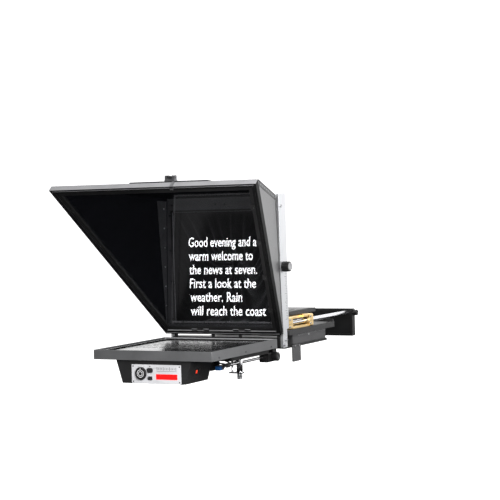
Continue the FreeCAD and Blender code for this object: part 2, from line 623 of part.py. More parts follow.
def hood_side():
    """Sheet on the plane of the back frame's top corner and the mouth's rear side edge."""
    rim_y, rim_z = rim_point(RIM_LEN, -RIM_D)
    low_x, low_z = back_low_corner()
    top, front, low = V(BACK_TOP_X, BACK_Y, BACK_Z1), V(RIM_TOP_X, rim_y, rim_z), V(low_x, BACK_Y, low_z)
    inward = (front - top).cross(low - top).normalize() * SHEET
    inward = inward if inward.x < 0 else inward * -1
    front += (front - top) * 0.05
    sheet = prism([tuple(top), tuple(front), tuple(low)], tuple(inward)).common(behind_rim())
    y0, y1 = BACK_Y + 9, rim_y - 60
    roof = prism([(-500, y0, panel_z(y0) - SHEET), (500, y0, panel_z(y0) - SHEET),
                  (500, y1, panel_z(y1) - SHEET), (-500, y1, panel_z(y1) - SHEET)], (0, 0, 60))
    return sheet.cut(roof).cut(box(0, 400, BACK_Y, BACK_Y + 20, 0, 600))


def hood_back_frame():
    low, high = back_half(BACK_Z0), back_half(BACK_Z1)
    plate = prism([(-low, BACK_Y, BACK_Z0), (low, BACK_Y, BACK_Z0),
                   (high, BACK_Y, BACK_Z1), (-high, BACK_Y, BACK_Z1)], (0, SHEET, 0))
    plate = plate.cut(box(-OPEN_X, OPEN_X, BACK_Y - 1, BACK_Y + 9, OPEN_Z0, OPEN_Z1))
    shelf = box(-177, 177, BACK_Y, -388, BACK_Z0, BACK_Z0 + SHEET)
    ear = box(177, 180, BACK_Y, -372, 84, BACK_Z1 - 7)
    for y, z in ((KNOB_Y, KNOB_Z), GUIDE_YZ):
        slot = box(176, 181, y - 3.6, y + 3.6, z - HOOD_LIFT, z)
        for end in (z - HOOD_LIFT, z):
            slot = slot.fuse(cyl("x", 3.6, 176, 181, y, end))
        ear = ear.cut(slot)
    body = fuse([plate, shelf] + both_sides(ear))
    for x, z in BACK_SCREWS:
        body = body.cut(cyl("y", 1.6 + FIT, BACK_Y - 1, BACK_Y + SHEET + 0.5, x, z))
    return body


def knuckle(x, hole):
    """One hinge knuckle of the glass, 19 long, in the mouth's own frame."""
    body = cyl("x", 2.5, x - 9.5, x + 9.5, PIVOT_S, PIVOT_D)
    if not hole:
        return body
    leaf = box(x - 9.5, x + 9.5, RIM_W - 2, PIVOT_S, PIVOT_D - 2.5, PIVOT_D + 2.5)
    return fuse([body, leaf]).cut(cyl("x", 1.2 + FIT, x - 10, x + 10, PIVOT_S, PIVOT_D))


def rim_frame():
    body = trapezoid(0, -RIM_D, 0).cut(trapezoid(RIM_W, -RIM_D - 1, 1))
    body = body.cut(trapezoid(4, -3, 1).cut(trapezoid(6.5, -4, 2)))
    knuckles = []
    for x in (HINGE_X[0], HINGE_X[2]):
        knuckles += both_sides(knuckle(x, True))
    body = rim_place(fuse([body] + knuckles))
    return body.cut(box(-400, 400, BACK_Y, 0, 0, 300))


def glass_frame():
    ring = trapezoid(RIM_W + 1.2, -13, PIVOT_D).cut(trapezoid(RIM_W + 11.2, -14, -3))
    ring = ring.cut(trapezoid(RIM_W + 6.2, -14, -9))
    parts = []
    for x in (HINGE_X[0], HINGE_X[2]):
        for notch in both_sides(box(x - 10.2, x + 10.2, RIM_W, PIVOT_S + 3.2, PIVOT_D - 3.2, 0)):
            ring = ring.cut(notch)
    parts += both_sides(knuckle(HINGE_X[1], False))
    parts += both_sides(cyl("x", 1.2, HINGE_X[0] - 9.5, HINGE_X[2] + 9.5, PIVOT_S, PIVOT_D))
    return rim_place(fuse([ring] + parts))


def beam_glass():
    return rim_place(trapezoid(RIM_W + 6.5, -12.8, -9.0))


def lens_shroud():
    def frustum(grow, y0, y1, x0, z_low, z_high, r):
        a = [(-x0 + grow, y0, z_low + grow), (x0 - grow, y0, z_low + grow),
             (x0 - grow, y0, z_high - grow), (-x0 + grow, y0, z_high - grow)]
        b = [(-r + grow, y1, LENS_Z - r + grow), (r - grow, y1, LENS_Z - r + grow),
             (r - grow, y1, LENS_Z + r - grow), (-r + grow, y1, LENS_Z + r - grow)]
        wires = [Part.makePolygon([V(*p) for p in w + [w[0]]]) for w in (a, b)]
        return Part.makeLoft(wires, True, True)
    y0 = BACK_Y + SHEET
    outer = frustum(0, y0, -325, OPEN_X + 8, OPEN_Z0 - 8, OPEN_Z1 + 8, 74)
    return outer.cut(frustum(4, y0 - 0.5, -324, OPEN_X + 8, OPEN_Z0 - 8, OPEN_Z1 + 8, 74))


def hood_screws():
    return group([cap_screw("y", 3.4, 1.8, 1.6, 2.9, BACK_Y, x, z, -1) for x, z in BACK_SCREWS])


def accessory_rail():
    y0, y1, x0, x1 = -804.0, -780.0, -75.0, 175.0
    pts = [(x0, y0, panel_z(y0)), (x0, y1, panel_z(y1)),
           (x0, y1, panel_z(y1) + RAIL_T), (x0, y0, panel_z(y0) + RAIL_T)]
    return prism(pts, (x1 - x0, 0, 0))


def accessory_clip():
    z = panel_z(-803.0) + RAIL_T
    x0, x1 = CLIP_X
    foot = box(x0, x1, -803, -785, z, z + 3.5)
    lugs = [round_box((x, x + 9, -801, -788, z, z + 16), 3, "x") for x in (x0, x1 - 9)]
    block = round_box((x0 + 4, x1 - 4, -799, -790, z + 2, z + 12), 2, "x")
    pin = cyl("x", 3.0, x0 - 2, x1 + 2, -794.5, z + 11)
    return fuse([foot] + lugs + [block, pin])


def clip_strap():
    x0, x1 = CLIP_X[1] - 2, CLIP_X[1] + 6
    over = box(x0, x1, RIM_LEN, RIM_LEN + 2, -RIM_D, 2)
    front = box(x0, x1, RIM_LEN - 9, RIM_LEN + 2, 0, 2)
    nose = cyl("x", 2.5, x0 - 1, x1 + 1, RIM_LEN - 8.5, 2.4)
    return rim_place(fuse([over, front, nose.common(box(0, 400, 0, 700, 0, 9))]))


# ---- the list of pieces ---------------------------------------------------------------------------
def pieces():
    knob, arm, thumb = hood_knob(), arm_knob(), thumb_screw()
    return {
        "base_plate": base_plate(), "wedge_block": wedge_block(), "badge_cheek": badge_cheek(),
        "base_screws": base_screws(), "balance_lever": balance_lever(),
        "top_plate": top_plate(), "carriage_blocks": carriage_blocks(), "carriage_bars": carriage_bars(),
        "rod_liners": rod_liners(), "camera_plate": camera_plate(), "camera_screw": camera_screw(),
        "carriage_screws": carriage_screws(), "carriage_knob": carriage_knob(),
        "main_rods": main_rods(), "rear_plate": rear_plate(), "rear_knob": rear_knob(),
        "rod_bridge": rod_bridge(), "cross_bar": cross_bar(), "uprights": uprights(),
        "upright_screws": upright_screws(), "hood_rests": hood_rests(), "clamp_nuts": clamp_nuts(),
        "hood_knob_right": knob, "hood_knob_left": mirrored(knob),
        "arm_blocks": arm_blocks(), "arm_knob_right": arm, "arm_knob_left": mirrored(arm),
        "arm_rods": arm_rods(), "arm_caps": arm_caps(),
        "monitor_frame": monitor_frame(), "monitor_bezel": monitor_bezel(), "rear_bezel": rear_bezel(),
        "lcd_panel": lcd_panel(), "lcd_backlight": lcd_backlight(), "back_pan": back_pan(),
        "driver_board": driver_board(), "control_housing": control_housing(),
        "control_panel": control_panel(), "control_dial": control_dial(),
        "key_high": push_key(KEY_HIGH_Z, 9, 6.5), "key_low": push_key(KEY_LOW_Z, 7, 5),
        "cue_window": cue_window(), "cue_light_board": cue_light_board(),
        "power_rocker": power_rocker(),
        "connector_block": connector_block(), "video_cable": video_cable(),
        "arm_posts": arm_posts(), "post_yokes": post_yokes(),
        "thumb_screw_right": thumb, "thumb_screw_left": mirrored(thumb),
        "hood_back_frame": hood_back_frame(), "hood_top_panel": hood_top_panel(),
        "hood_side_panels": group(both_sides(hood_side())), "rim_frame": rim_frame(),
        "glass_frame": glass_frame(), "beam_glass": beam_glass(), "lens_shroud": lens_shroud(),
        "hood_screws": hood_screws(), "accessory_rail": accessory_rail(),
        "accessory_clip": group([accessory_clip(), clip_strap()]),
    }


def main():
    os.makedirs("parts", exist_ok=True)
    for name, shape in pieces().items():
        bad = not shape.isValid() or any(not s.isClosed() for s in shape.Shells)
        print(name, len(shape.Solids), round(shape.Volume / 1000, 2), "BAD" if bad else "")
        shape.exportStep("parts/" + name + ".step")


main()
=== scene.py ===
"""Looks of the camera-mounted teleprompter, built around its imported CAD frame.

Metres, CAD frame: +Z up, -Y faces the presenter, +X is on the presenter's right.
"""
import json
import math

import bmesh
import bpy
import numpy as np
from mathutils import Matrix, Vector


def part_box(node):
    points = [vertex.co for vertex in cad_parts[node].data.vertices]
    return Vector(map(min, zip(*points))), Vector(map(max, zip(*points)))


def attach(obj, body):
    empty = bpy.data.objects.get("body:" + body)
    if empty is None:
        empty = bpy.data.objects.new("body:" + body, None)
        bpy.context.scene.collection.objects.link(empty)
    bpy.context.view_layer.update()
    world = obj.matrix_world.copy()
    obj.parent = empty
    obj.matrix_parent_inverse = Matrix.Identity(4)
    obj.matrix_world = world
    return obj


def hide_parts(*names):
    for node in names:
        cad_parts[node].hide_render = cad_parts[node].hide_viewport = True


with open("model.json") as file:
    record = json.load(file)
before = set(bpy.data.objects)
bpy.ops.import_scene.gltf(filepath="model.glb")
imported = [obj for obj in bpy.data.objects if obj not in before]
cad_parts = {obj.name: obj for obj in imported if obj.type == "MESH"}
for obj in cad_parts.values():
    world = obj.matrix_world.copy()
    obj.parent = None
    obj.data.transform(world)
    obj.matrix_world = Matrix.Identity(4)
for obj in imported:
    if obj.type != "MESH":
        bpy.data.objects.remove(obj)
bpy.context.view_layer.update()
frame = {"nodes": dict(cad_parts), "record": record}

NODES = frame["nodes"]
MM = 0.001


# ---- boxes of the CAD nodes that new pieces are placed from --------------------------------------
def low(node):
    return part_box(node)[0]


def high(node):
    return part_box(node)[1]


def middle(node):
    a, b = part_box(node)
    return (a + b) / 2


# ---- node-tree helpers -------------------------------------------------------------------------------
EDGE_SPREAD = 0.35      # how far the normal turns before an edge counts as fully worn


class Tree:
    """A short way to write the node tree of a material or of the world."""

    def __init__(self, owner):
        self.mat = bpy.data.materials.new(owner) if isinstance(owner, str) else owner
        self.mat.use_nodes = True
        self.nodes = self.mat.node_tree.nodes
        self.links = self.mat.node_tree.links
        self.bsdf = self.nodes.get("Principled BSDF")
        self.out = self.nodes.get("Material Output")
        self.coord = self.node("TexCoord")

    def link(self, a, b):
        self.links.new(a, b)

    def set(self, socket, value):
        if hasattr(value, "is_output"):
            self.link(value, socket)
        else:
            socket.default_value = value

    def node(self, kind, **inputs):
        """A new shader node, with its inputs given by name and _ for a space."""
        node = self.nodes.new("ShaderNode" + kind)
        for key, value in inputs.items():
            self.set(node.inputs[key.replace("_", " ")], value)
        return node

    def mapped(self, scale):
        scale = scale if hasattr(scale, "__len__") else (scale,) * 3
        return self.node("Mapping", Scale=scale, Vector=self.coord.outputs["Object"]).outputs["Vector"]

    def noise(self, scale, detail=3.0, rough=0.55, vector=None, distortion=0.0):
        vector = self.coord.outputs["Object"] if vector is None else vector
        return self.node("TexNoise", Scale=scale, Detail=detail, Roughness=rough, Distortion=distortion,
                         Vector=vector).outputs["Fac"]

    def voronoi(self, scale, feature="F1"):
        node = self.node("TexVoronoi", Scale=scale, Vector=self.coord.outputs["Object"])
        node.feature = feature
        return node.outputs["Distance"]

    def wave(self, scale, vector, direction="X", distortion=0.0):
        node = self.node("TexWave", Scale=scale, Distortion=distortion, Vector=vector)
        node.bands_direction = direction
        return node.outputs["Fac"]

    def ramp(self, fac, stops):
        node = self.node("ValToRGB", Fac=fac)
        ramp = node.color_ramp
        while len(ramp.elements) < len(stops):
            ramp.elements.new(0.5)
        for element, (position, value) in zip(ramp.elements, stops):
            element.position = position
            element.color = value if hasattr(value, "__len__") else (value, value, value, 1)
        return node.outputs["Color"]

    def math(self, op, a, b=0.0, c=None, clamp=False):
        node = self.node("Math")
        node.operation = op
        node.use_clamp = clamp
        self.set(node.inputs[0], a)
        self.set(node.inputs[1], b)
        if c is not None:
            self.set(node.inputs[2], c)
        return node.outputs[0]

    def dot(self, a, b):
        node = self.node("VectorMath")
        node.operation = "DOT_PRODUCT"
        self.set(node.inputs[0], a)
        self.set(node.inputs[1], b)
        return node.outputs["Value"]

    def split(self, source):
        """X, Y and Z outputs of one of the texture coordinates."""
        return self.node("SeparateXYZ", Vector=self.coord.outputs[source]).outputs

    def remap(self, value, lo, hi):
        return self.node("MapRange", Value=value, To_Min=lo, To_Max=hi).outputs["Result"]

    def mix(self, fac, a, b):
        """Blend of two colours, which are the node's inputs 6 and 7 and its output 2."""
        node = self.node("Mix")
        node.data_type = "RGBA"
        self.set(node.inputs["Factor"], fac)
        self.set(node.inputs[6], a)
        self.set(node.inputs[7], b)
        return node.outputs[2]

    def mix_shaders(self, fac, a, b):
        """Sends a blend of two shaders to the material's surface."""
        node = self.node("MixShader")
        for socket, value in zip(node.inputs, (fac, a, b)):
            self.link(value, socket)
        self.link(node.outputs[0], self.out.inputs["Surface"])

    def bump(self, height, strength, distance, normal=None):
        node = self.node("Bump", Strength=strength, Distance=distance, Height=height)
        if normal is not None:
            self.link(normal, node.inputs["Normal"])
        return node.outputs["Normal"]

    def edge(self, radius):
        """1 on outside edges within radius, 0 on flats."""
        bevel = self.node("Bevel", Radius=radius)
        bevel.samples = 4
        facing = self.dot(bevel.outputs["Normal"], self.node("NewGeometry").outputs["Normal"])
        return self.math("MULTIPLY", self.math("SUBTRACT", 1.0, facing), 1.0 / EDGE_SPREAD, clamp=True)

    def rub(self, radius, scale, detail, stops):
        """Wear along the edges, broken up by noise."""
        return self.math("MULTIPLY", self.edge(radius), self.ramp(self.noise(scale, detail, 0.7), stops))

    def base(self, color=None, rough=None, metal=None, **more):
        names = {"color": "Base Color", "rough": "Roughness", "metal": "Metallic"}
        for key, value in (("color", color), ("rough", rough), ("metal", metal)):
            if value is not None:
                self.set(self.bsdf.inputs[names[key]], value)
        for key, value in more.items():
            self.set(self.bsdf.inputs[key.replace("_", " ")], value)


def grey(v, tint=(1.0, 1.0, 1.03)):
    return (v * tint[0], v * tint[1], v * tint[2], 1.0)


def shade(color, k):
    return (min(1, color[0] * k), min(1, color[1] * k), min(1, color[2] * k), 1.0)


# ---- materials ---------------------------------------------------------------------------------------
def powder_coat(name, color, rough=0.42, grain=0.9, wear=0.0, worn=0.35):
    """Sprayed metal with a fine orange-peel grain, soft patches of handling and lighter edges."""
    t = Tree(name)
    patches = t.noise(14.0, 4.0, 0.6)
    tone = t.ramp(patches, [(0.3, shade(color, 0.84)), (0.72, shade(color, 1.18))])
    speck = t.noise(2600.0, 2.0, 0.6)
    tone = t.mix(t.math("MULTIPLY", speck, 0.16), tone, shade(color, 1.6))
    if wear:
        rub = t.rub(0.0012, 90.0, 5.0, [(0.45, 0.0), (0.7, 1.0)])
        tone = t.mix(t.math("MULTIPLY", rub, wear), tone, grey(worn))
    t.base(color=tone, rough=t.remap(patches, rough - 0.07, rough + 0.1))
    fine = t.bump(t.noise(1500.0, 3.0, 0.5), 0.16 * grain, 0.0006)
    t.base(Normal=t.bump(t.voronoi(900.0), 0.1 * grain, 0.0005, fine))
    t.base(Specular_IOR_Level=0.5 if color[0] > 0.08 else 0.24)
    return t.mat


def rim_with_painted_highlight(name, up):
    """Near-black rim with a painted highlight: the upper bar's faces that look along up are drawn grey, where
    light falls on them.
    """
    t = Tree(name)
    patches = t.noise(14.0, 4.0, 0.6)
    # Painted highlight: faces that look along up are drawn grey and the rest near black, standing in for how
    # light falls on the rim.
    painted_highlight_faces = t.math("GREATER_THAN", t.dot(t.coord.outputs["Normal"], up), 0.8)
    tone = t.mix(painted_highlight_faces, t.ramp(patches, [(0.3, grey(0.005)), (0.72, grey(0.011))]),
                 t.ramp(patches, [(0.3, grey(0.19)), (0.72, grey(0.25))]))
    rub = t.rub(0.001, 60.0, 5.0, [(0.4, 0.15), (0.7, 0.8)])
    tone = t.mix(rub, tone, grey(0.4))
    t.base(color=tone, rough=t.remap(patches, 0.32, 0.48))
    t.base(Specular_IOR_Level=t.math("MULTIPLY_ADD", painted_highlight_faces, 0.4, 0.05))
    t.base(Normal=t.bump(t.noise(1500.0, 3.0, 0.5), 0.14, 0.0006))
    return t.mat


def anodised(name, color, along, rough=0.3, wear=0.3):
    """Brushed and anodised aluminium; along is the brushing direction's axis number."""
    t = Tree(name)
    scale = [900.0, 900.0, 900.0]
    scale[along] = 14.0
    brush = t.noise(1.0, 4.0, 0.6, t.mapped(scale))
    cloud = t.noise(9.0, 3.0, 0.5)
    tone = t.ramp(brush, [(0.25, shade(color, 0.86)), (0.75, shade(color, 1.08))])
    tone = t.mix(t.math("MULTIPLY", cloud, 0.25), tone, shade(color, 0.8))
    if wear:
        tone = t.mix(t.math("MULTIPLY", t.edge(0.0008), wear), tone, shade(color, 1.35))
    t.base(color=tone, metal=1.0, rough=t.remap(brush, rough - 0.06, rough + 0.12))
    t.base(Normal=t.bump(brush, 0.08, 0.0002))
    return t.mat


def black_anodised(name, value):
    """Black anodised aluminium with rubbed edges."""
    t = Tree(name)
    brush = t.noise(1.0, 3.0, 0.6, t.mapped((700.0, 30.0, 700.0)))
    cloud = t.noise(12.0, 3.0, 0.5)
    tone = t.ramp(cloud, [(0.3, grey(value * 0.8)), (0.75, grey(value * 1.35))])
    rub = t.rub(0.001, 120.0, 4.0, [(0.45, 0.0), (0.7, 1.0)])
    tone = t.mix(t.math("MULTIPLY", rub, 0.5), tone, grey(0.22))
    t.base(color=tone, metal=0.2, rough=t.remap(brush, 0.33, 0.48), Specular_IOR_Level=0.26)
    t.base(Normal=t.bump(t.noise(1800.0, 2.0), 0.12, 0.0004))
    return t.mat


def ground_rod(name):
    """Bright ground steel along Y, with grinding rings across its length and faint slide marks along it."""
    t = Tree(name)
    rings = t.noise(1.0, 3.0, 0.6, t.mapped((40.0, 2600.0, 40.0)))
    marks = t.noise(1.0, 2.0, 0.5, t.mapped((700.0, 6.0, 700.0)))
    tone = t.ramp(rings, [(0.2, grey(0.7)), (0.8, grey(0.8))])
    t.base(color=tone, metal=1.0, rough=t.remap(marks, 0.12, 0.3))
    t.base(Normal=t.bump(rings, 0.02, 0.00005))
    return t.mat


def plain_steel(name, value=0.5, rough=0.28):
    """Bare turned steel, a little mottled."""
    t = Tree(name)
    spots = t.noise(500.0, 4.0, 0.6)
    tone = t.ramp(spots, [(0.3, grey(value * 0.8)), (0.8, grey(value * 1.15))])
    t.base(color=tone, metal=1.0, rough=t.remap(spots, rough - 0.08, rough + 0.15))
    t.base(Normal=t.bump(spots, 0.06, 0.0002))
    return t.mat


def moulded(name, color, rough=0.45, grain=1.0):
    """Moulded plastic: pebble grain, slight sheen change and rubbed corners."""
    t = Tree(name)
    cloud = t.noise(22.0, 3.0, 0.55)
    tone = t.ramp(cloud, [(0.3, shade(color, 0.82)), (0.75, shade(color, 1.25))])
    tone = t.mix(t.math("MULTIPLY", t.edge(0.0008), 0.35), tone, shade(color, 2.4))
    t.base(color=tone, rough=t.remap(cloud, rough - 0.06, rough + 0.08), Specular_IOR_Level=0.32)
    t.base(Normal=t.bump(t.voronoi(1300.0), 0.16 * grain, 0.0004))
    return t.mat


def rubber(name, value=0.018):
    """Dusty black rubber."""
    t = Tree(name)
    dust = t.noise(60.0, 5.0, 0.65)
    tone = t.ramp(dust, [(0.35, grey(value)), (0.8, grey(value * 2.2))])
    t.base(color=tone, rough=t.remap(dust, 0.62, 0.82))
    t.base(Normal=t.bump(t.noise(1100.0, 2.0), 0.2, 0.0004))
    return t.mat


def black_cloth(name):
    """Plain-weave black cotton with sheen and a little lint."""
    t = Tree(name)
    vector = t.mapped(1.0)
    warp = t.wave(330.0, vector, "X", 0.6)
    weft = t.wave(330.0, vector, "Z", 0.6)
    weave = t.math("MULTIPLY", warp, weft)
    lint = t.noise(160.0, 5.0, 0.7)
    tone = t.ramp(weave, [(0.1, grey(0.004)), (0.9, grey(0.014))])
    tone = t.mix(t.ramp(lint, [(0.66, 0.0), (0.78, 0.3)]), tone, grey(0.035))
    t.base(color=tone, rough=0.93, Sheen_Weight=0.25, Sheen_Roughness=0.5, Specular_IOR_Level=0.2)
    t.base(Normal=t.bump(weave, 0.4, 0.0006))
    return t.mat


def outside_mask(t, kind):
    """1 on the hood's faces that look out of it, 0 on those that look into it."""
    normal = t.split("Normal")
    if kind == "top":
        return t.math("GREATER_THAN", normal["Z"], 0.05)
    out = t.math("MULTIPLY", normal["X"], t.math("SIGN", t.split("Object")["X"]))
    return t.math("GREATER_THAN", out, 0.05)


def hood_skin(name, kind):
    """Grained black composite outside, light-killing flock inside."""
    t = Tree(name)
    mask = outside_mask(t, kind)
    cloud = t.noise(7.0, 4.0, 0.6)
    skin = t.ramp(cloud, [(0.3, grey(0.085)), (0.75, grey(0.115))])
    scuff = t.ramp(t.noise(1.0, 6.0, 0.75, t.mapped((40.0, 9.0, 60.0))), [(0.62, 0.0), (0.74, 0.35)])
    skin = t.mix(scuff, skin, grey(0.2))
    fibre = t.noise(1900.0, 2.0, 0.7)
    flock = t.ramp(fibre, [(0.3, grey(0.009, (1.0, 1.03, 1.25))), (0.8, grey(0.02, (1.0, 1.03, 1.25)))])
    if kind == "side":
        # Painted shade: the side panels' outer face is drawn darker towards the bottom.
        painted_low_shade = t.ramp(t.split("Object")["Z"], [(0.08, 0.62), (0.34, 0.0)])
        skin = t.mix(painted_low_shade, skin, grey(0.012))
    t.base(color=t.mix(mask, flock, skin))
    t.base(rough=t.math("ADD", t.math("MULTIPLY", mask, -0.52), t.remap(cloud, 0.9, 0.99)))
    shine = 0.48 if kind == "side" else 0.16
    t.base(Specular_IOR_Level=t.math("MULTIPLY_ADD", mask, shine, 0.02))
    grain = t.bump(t.voronoi(620.0), 0.22, 0.0006)
    t.base(Normal=t.bump(fibre, 0.2, 0.0004, grain))
    return t.mat


def beam_glass(name):
    """Coated glass: mirrors part of the light at its front faces and lets the rest straight through."""
    t = Tree(name)
    t.nodes.remove(t.bsdf)
    through = t.node("BsdfTransparent", Color=(0.82, 0.825, 0.84, 1))
    smear = t.noise(11.0, 4.0, 0.6, distortion=1.2)
    tint = t.ramp(smear, [(0.3, grey(0.86)), (0.7, grey(0.92))])
    gloss = t.node("BsdfGlossy", Roughness=0.0, Color=tint)
    fresnel = t.node("Fresnel", IOR=1.5).outputs[0]
    strength = t.math("ADD", t.math("MULTIPLY", fresnel, 0.5), 0.2, clamp=True)
    front = t.math("SUBTRACT", 1.0, t.node("NewGeometry").outputs["Backfacing"])
    t.mix_shaders(t.math("MULTIPLY", strength, front), through.outputs[0], gloss.outputs[0])
    return t.mat


def screen_face(name):
    """Dark glossy screen with a faint grid of cells."""
    t = Tree(name)
    vector = t.mapped(1.0)
    cells = t.math("MULTIPLY", t.wave(600.0, vector, "X"), t.wave(600.0, vector, "Y"))
    t.base(color=t.ramp(cells, [(0.2, grey(0.006)), (0.9, grey(0.014))]))
    t.base(rough=t.remap(t.noise(160.0, 4.0, 0.7), 0.06, 0.2), Specular_IOR_Level=1.0)
    t.base(Normal=t.bump(t.noise(2200.0, 2.0), 0.05, 0.0002))
    return t.mat


def glowing(name, color, strength, body=(0.9, 0.9, 0.9, 1.0), pattern=700.0, narrow=False):
    """Lit plastic or lit screen cells, a little uneven; narrow light fades at a grazing angle."""
    t = Tree(name)
    cells = t.noise(pattern, 2.0)
    t.base(color=t.ramp(cells, [(0.3, shade(body, 0.9)), (0.7, body)]), rough=t.remap(cells, 0.2, 0.3))
    t.bsdf.inputs["Emission Color"].default_value = color
    level = t.remap(cells, strength * 0.93, strength * 1.05)
    if narrow:
        facing = t.node("LayerWeight", Blend=0.5)
        level = t.math("MULTIPLY", level, t.ramp(facing.outputs["Facing"], [(0.35, 1.0), (0.9, 0.004)]))
    t.set(t.bsdf.inputs["Emission Strength"], level)
    return t.mat


def circuit_board(name):
    """Green board with bright track lines."""
    t = Tree(name)
    tracks = t.voronoi(420.0, "DISTANCE_TO_EDGE")
    tone = t.ramp(tracks, [(0.03, (0.16, 0.3, 0.1, 1)), (0.07, (0.012, 0.1, 0.04, 1))])
    t.base(color=tone, rough=t.remap(t.noise(80.0), 0.25, 0.4))
    t.base(Normal=t.bump(tracks, 0.2, 0.0002))
    return t.mat


def cable_jacket(name):
    """Dull black cable covering."""
    t = Tree(name)
    color = (0.012, 0.012, 0.013, 1)
    cloud = t.noise(60.0, 4.0, 0.6)
    t.base(color=t.ramp(cloud, [(0.3, shade(color, 0.8)), (0.75, shade(color, 1.6))]))
    t.base(rough=t.remap(cloud, 0.4, 0.55))
    t.base(Normal=t.bump(t.noise(700.0), 0.12, 0.0003))
    return t.mat


GOLD = (0.92, 0.66, 0.30, 1)
SILVER = (0.80, 0.81, 0.83, 1)
RIM_UP = (0.0, -0.669, 0.743)      # way that the rim's upper bar faces
FINISHES = {
    "black_anodised": (black_anodised, 0.012),
    "grey_paint": (powder_coat, grey(0.068), 0.42, 1.0, 0.6, 0.45),
    "dark_grey_paint": (powder_coat, grey(0.03), 0.4, 1.0, 0.5, 0.3),
    "steel_screws": (plain_steel,),
    "dark_screws": (plain_steel, 0.07, 0.35),
    "gold_anodised": (anodised, GOLD, 1, 0.27, 0.35),
    "bronze_liner": (plain_steel, 0.4, 0.3),
    "black_plastic": (moulded, grey(0.012)),
    "dark_gloss_plastic": (moulded, grey(0.022), 0.26, 0.4),
    "red_plastic": (glowing, (1.0, 0.0, 0.0, 1), 1.35, (0.75, 0.01, 0.01, 1), 260.0),
    "white_plastic": (moulded, grey(0.8), 0.5),
    "bright_rod": (ground_rod,),
    "silver_anodised": (anodised, SILVER, 2, 0.42, 0.2),
    "black_rubber": (rubber,),
    "monitor_grey": (powder_coat, grey(0.085, (1.0, 1.01, 1.04)), 0.44, 1.0, 0.5, 0.42),
    "light_grey_paint": (powder_coat, grey(0.34), 0.45, 0.9, 0.2, 0.6),
    "screen_glass": (screen_face,),
    "black_sheet": (powder_coat, grey(0.008), 0.5, 1.3, 0.3, 0.2),
    "black_alloy_sheet": (powder_coat, grey(0.075), 0.55, 1.3, 0.15, 0.3),
    "black_textured": (powder_coat, grey(0.014), 0.5, 1.8, 0.35, 0.2),
    "green_board": (circuit_board,),
    "cable_jacket": (cable_jacket,),
    "hood_panel": (hood_skin, "side"),
    "hood_roof": (hood_skin, "top"),
    "rim_grey": (rim_with_painted_highlight, RIM_UP),
    "beam_glass": (beam_glass,),
    "black_cloth": (black_cloth,),
    "panel_silver": (powder_coat, grey(0.56), 0.4, 0.5, 0.2, 0.7),
    "cap_grey": (moulded, grey(0.3), 0.4, 0.6),
    "ink_dark": (moulded, grey(0.03), 0.6, 0.5),
    "prompt_text": (glowing, (1.0, 1.0, 1.0, 1), 6.5, grey(0.05), 700.0, True),
    "blue_plug": (moulded, (0.01, 0.08, 0.25, 1), 0.4),
    "signal_red": (glowing, (1.0, 0.05, 0.01, 1), 0.6, (0.8, 0.05, 0.02, 1), 300.0),
    "foam_black": (rubber, 0.01),
    "bezel_gloss": (screen_face,),
    "clip_steel": (plain_steel, 0.2, 0.45),
    "edge_grey": (powder_coat, grey(0.2), 0.4),
    "dark_gloss": (moulded, grey(0.03), 0.28, 0.4),
    "trim_dark": (powder_coat, grey(0.045), 0.45, 1.0, 0.5, 0.3),
}
M = {name: finish(name, *rest) for name, (finish, *rest) in FINISHES.items()}


# ---- mesh helpers ------------------------------------------------------------------------------------
def link_mesh(name, bm, material, smooth):
    """Object from bm, in the scene."""
    mesh = bpy.data.meshes.new(name)
    bm.to_mesh(mesh)
    bm.free()
    mesh.polygons.foreach_set("use_smooth", [smooth] * len(mesh.polygons))
    mesh.materials.append(material)
    obj = bpy.data.objects.new(name, mesh)
    bpy.context.scene.collection.objects.link(obj)
    return obj


def from_bmesh(name, bm, mat, smooth=True):
    bmesh.ops.recalc_face_normals(bm, faces=bm.faces)
    return link_mesh(name, bm, M[mat], smooth)


def bevelled(obj, width):
    """Rounds the edges sharper than 35 degrees."""
    mod = obj.modifiers.new("round", "BEVEL")
    mod.width = width
    mod.segments = 2
    mod.limit_method = "ANGLE"
    mod.angle_limit = math.radians(35)
    mod.harden_normals = True


def place(obj, body):
    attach(obj, body)


def piece(name, bm, mat, body, flat=False, soften=0.0):
    """A new piece that rides body; soften rounds its edges, which also makes its faces flat."""
    obj = from_bmesh(name, bm, mat, not (flat or soften))
    if soften:
        bevelled(obj, soften)
    place(obj, body)


def add_box(bm, lo, hi):
    """A box with its own vertices in bm."""
    corners = [Vector((x, y, z)) for x in (lo[0], hi[0]) for y in (lo[1], hi[1]) for z in (lo[2], hi[2])]
    v = [bm.verts.new(c) for c in corners]
    for quad in ((0, 1, 3, 2), (4, 6, 7, 5), (0, 4, 5, 1), (2, 3, 7, 6), (0, 2, 6, 4), (1, 5, 7, 3)):
        bm.faces.new([v[i] for i in quad])


def lathe(bm, profile, centre, axis, steps=32):
    """Turns (distance along the axis, radius) points round axis, from centre."""
    axis = Vector(axis).normalized()
    side = axis.orthogonal().normalized()
    other = axis.cross(side)
    rings = []
    for along, radius in profile:
        if radius < 1e-6:
            rings.append([bm.verts.new(Vector(centre) + axis * along)])
            continue
        ring = []
        for i in range(steps):
            turn = 2 * math.pi * i / steps
            ring.append(bm.verts.new(Vector(centre) + axis * along
                                     + (side * math.cos(turn) + other * math.sin(turn)) * radius))
        rings.append(ring)
    for a, b in zip(rings, rings[1:]):
        for i in range(steps):
            j = (i + 1) % steps
            if len(a) == 1 and len(b) == 1:
                continue
            if len(a) == 1:
                bm.faces.new((a[0], b[i], b[j]))
            elif len(b) == 1:
                bm.faces.new((a[i], b[0], a[j]))
            else:
                bm.faces.new((a[i], b[i], b[j], a[j]))


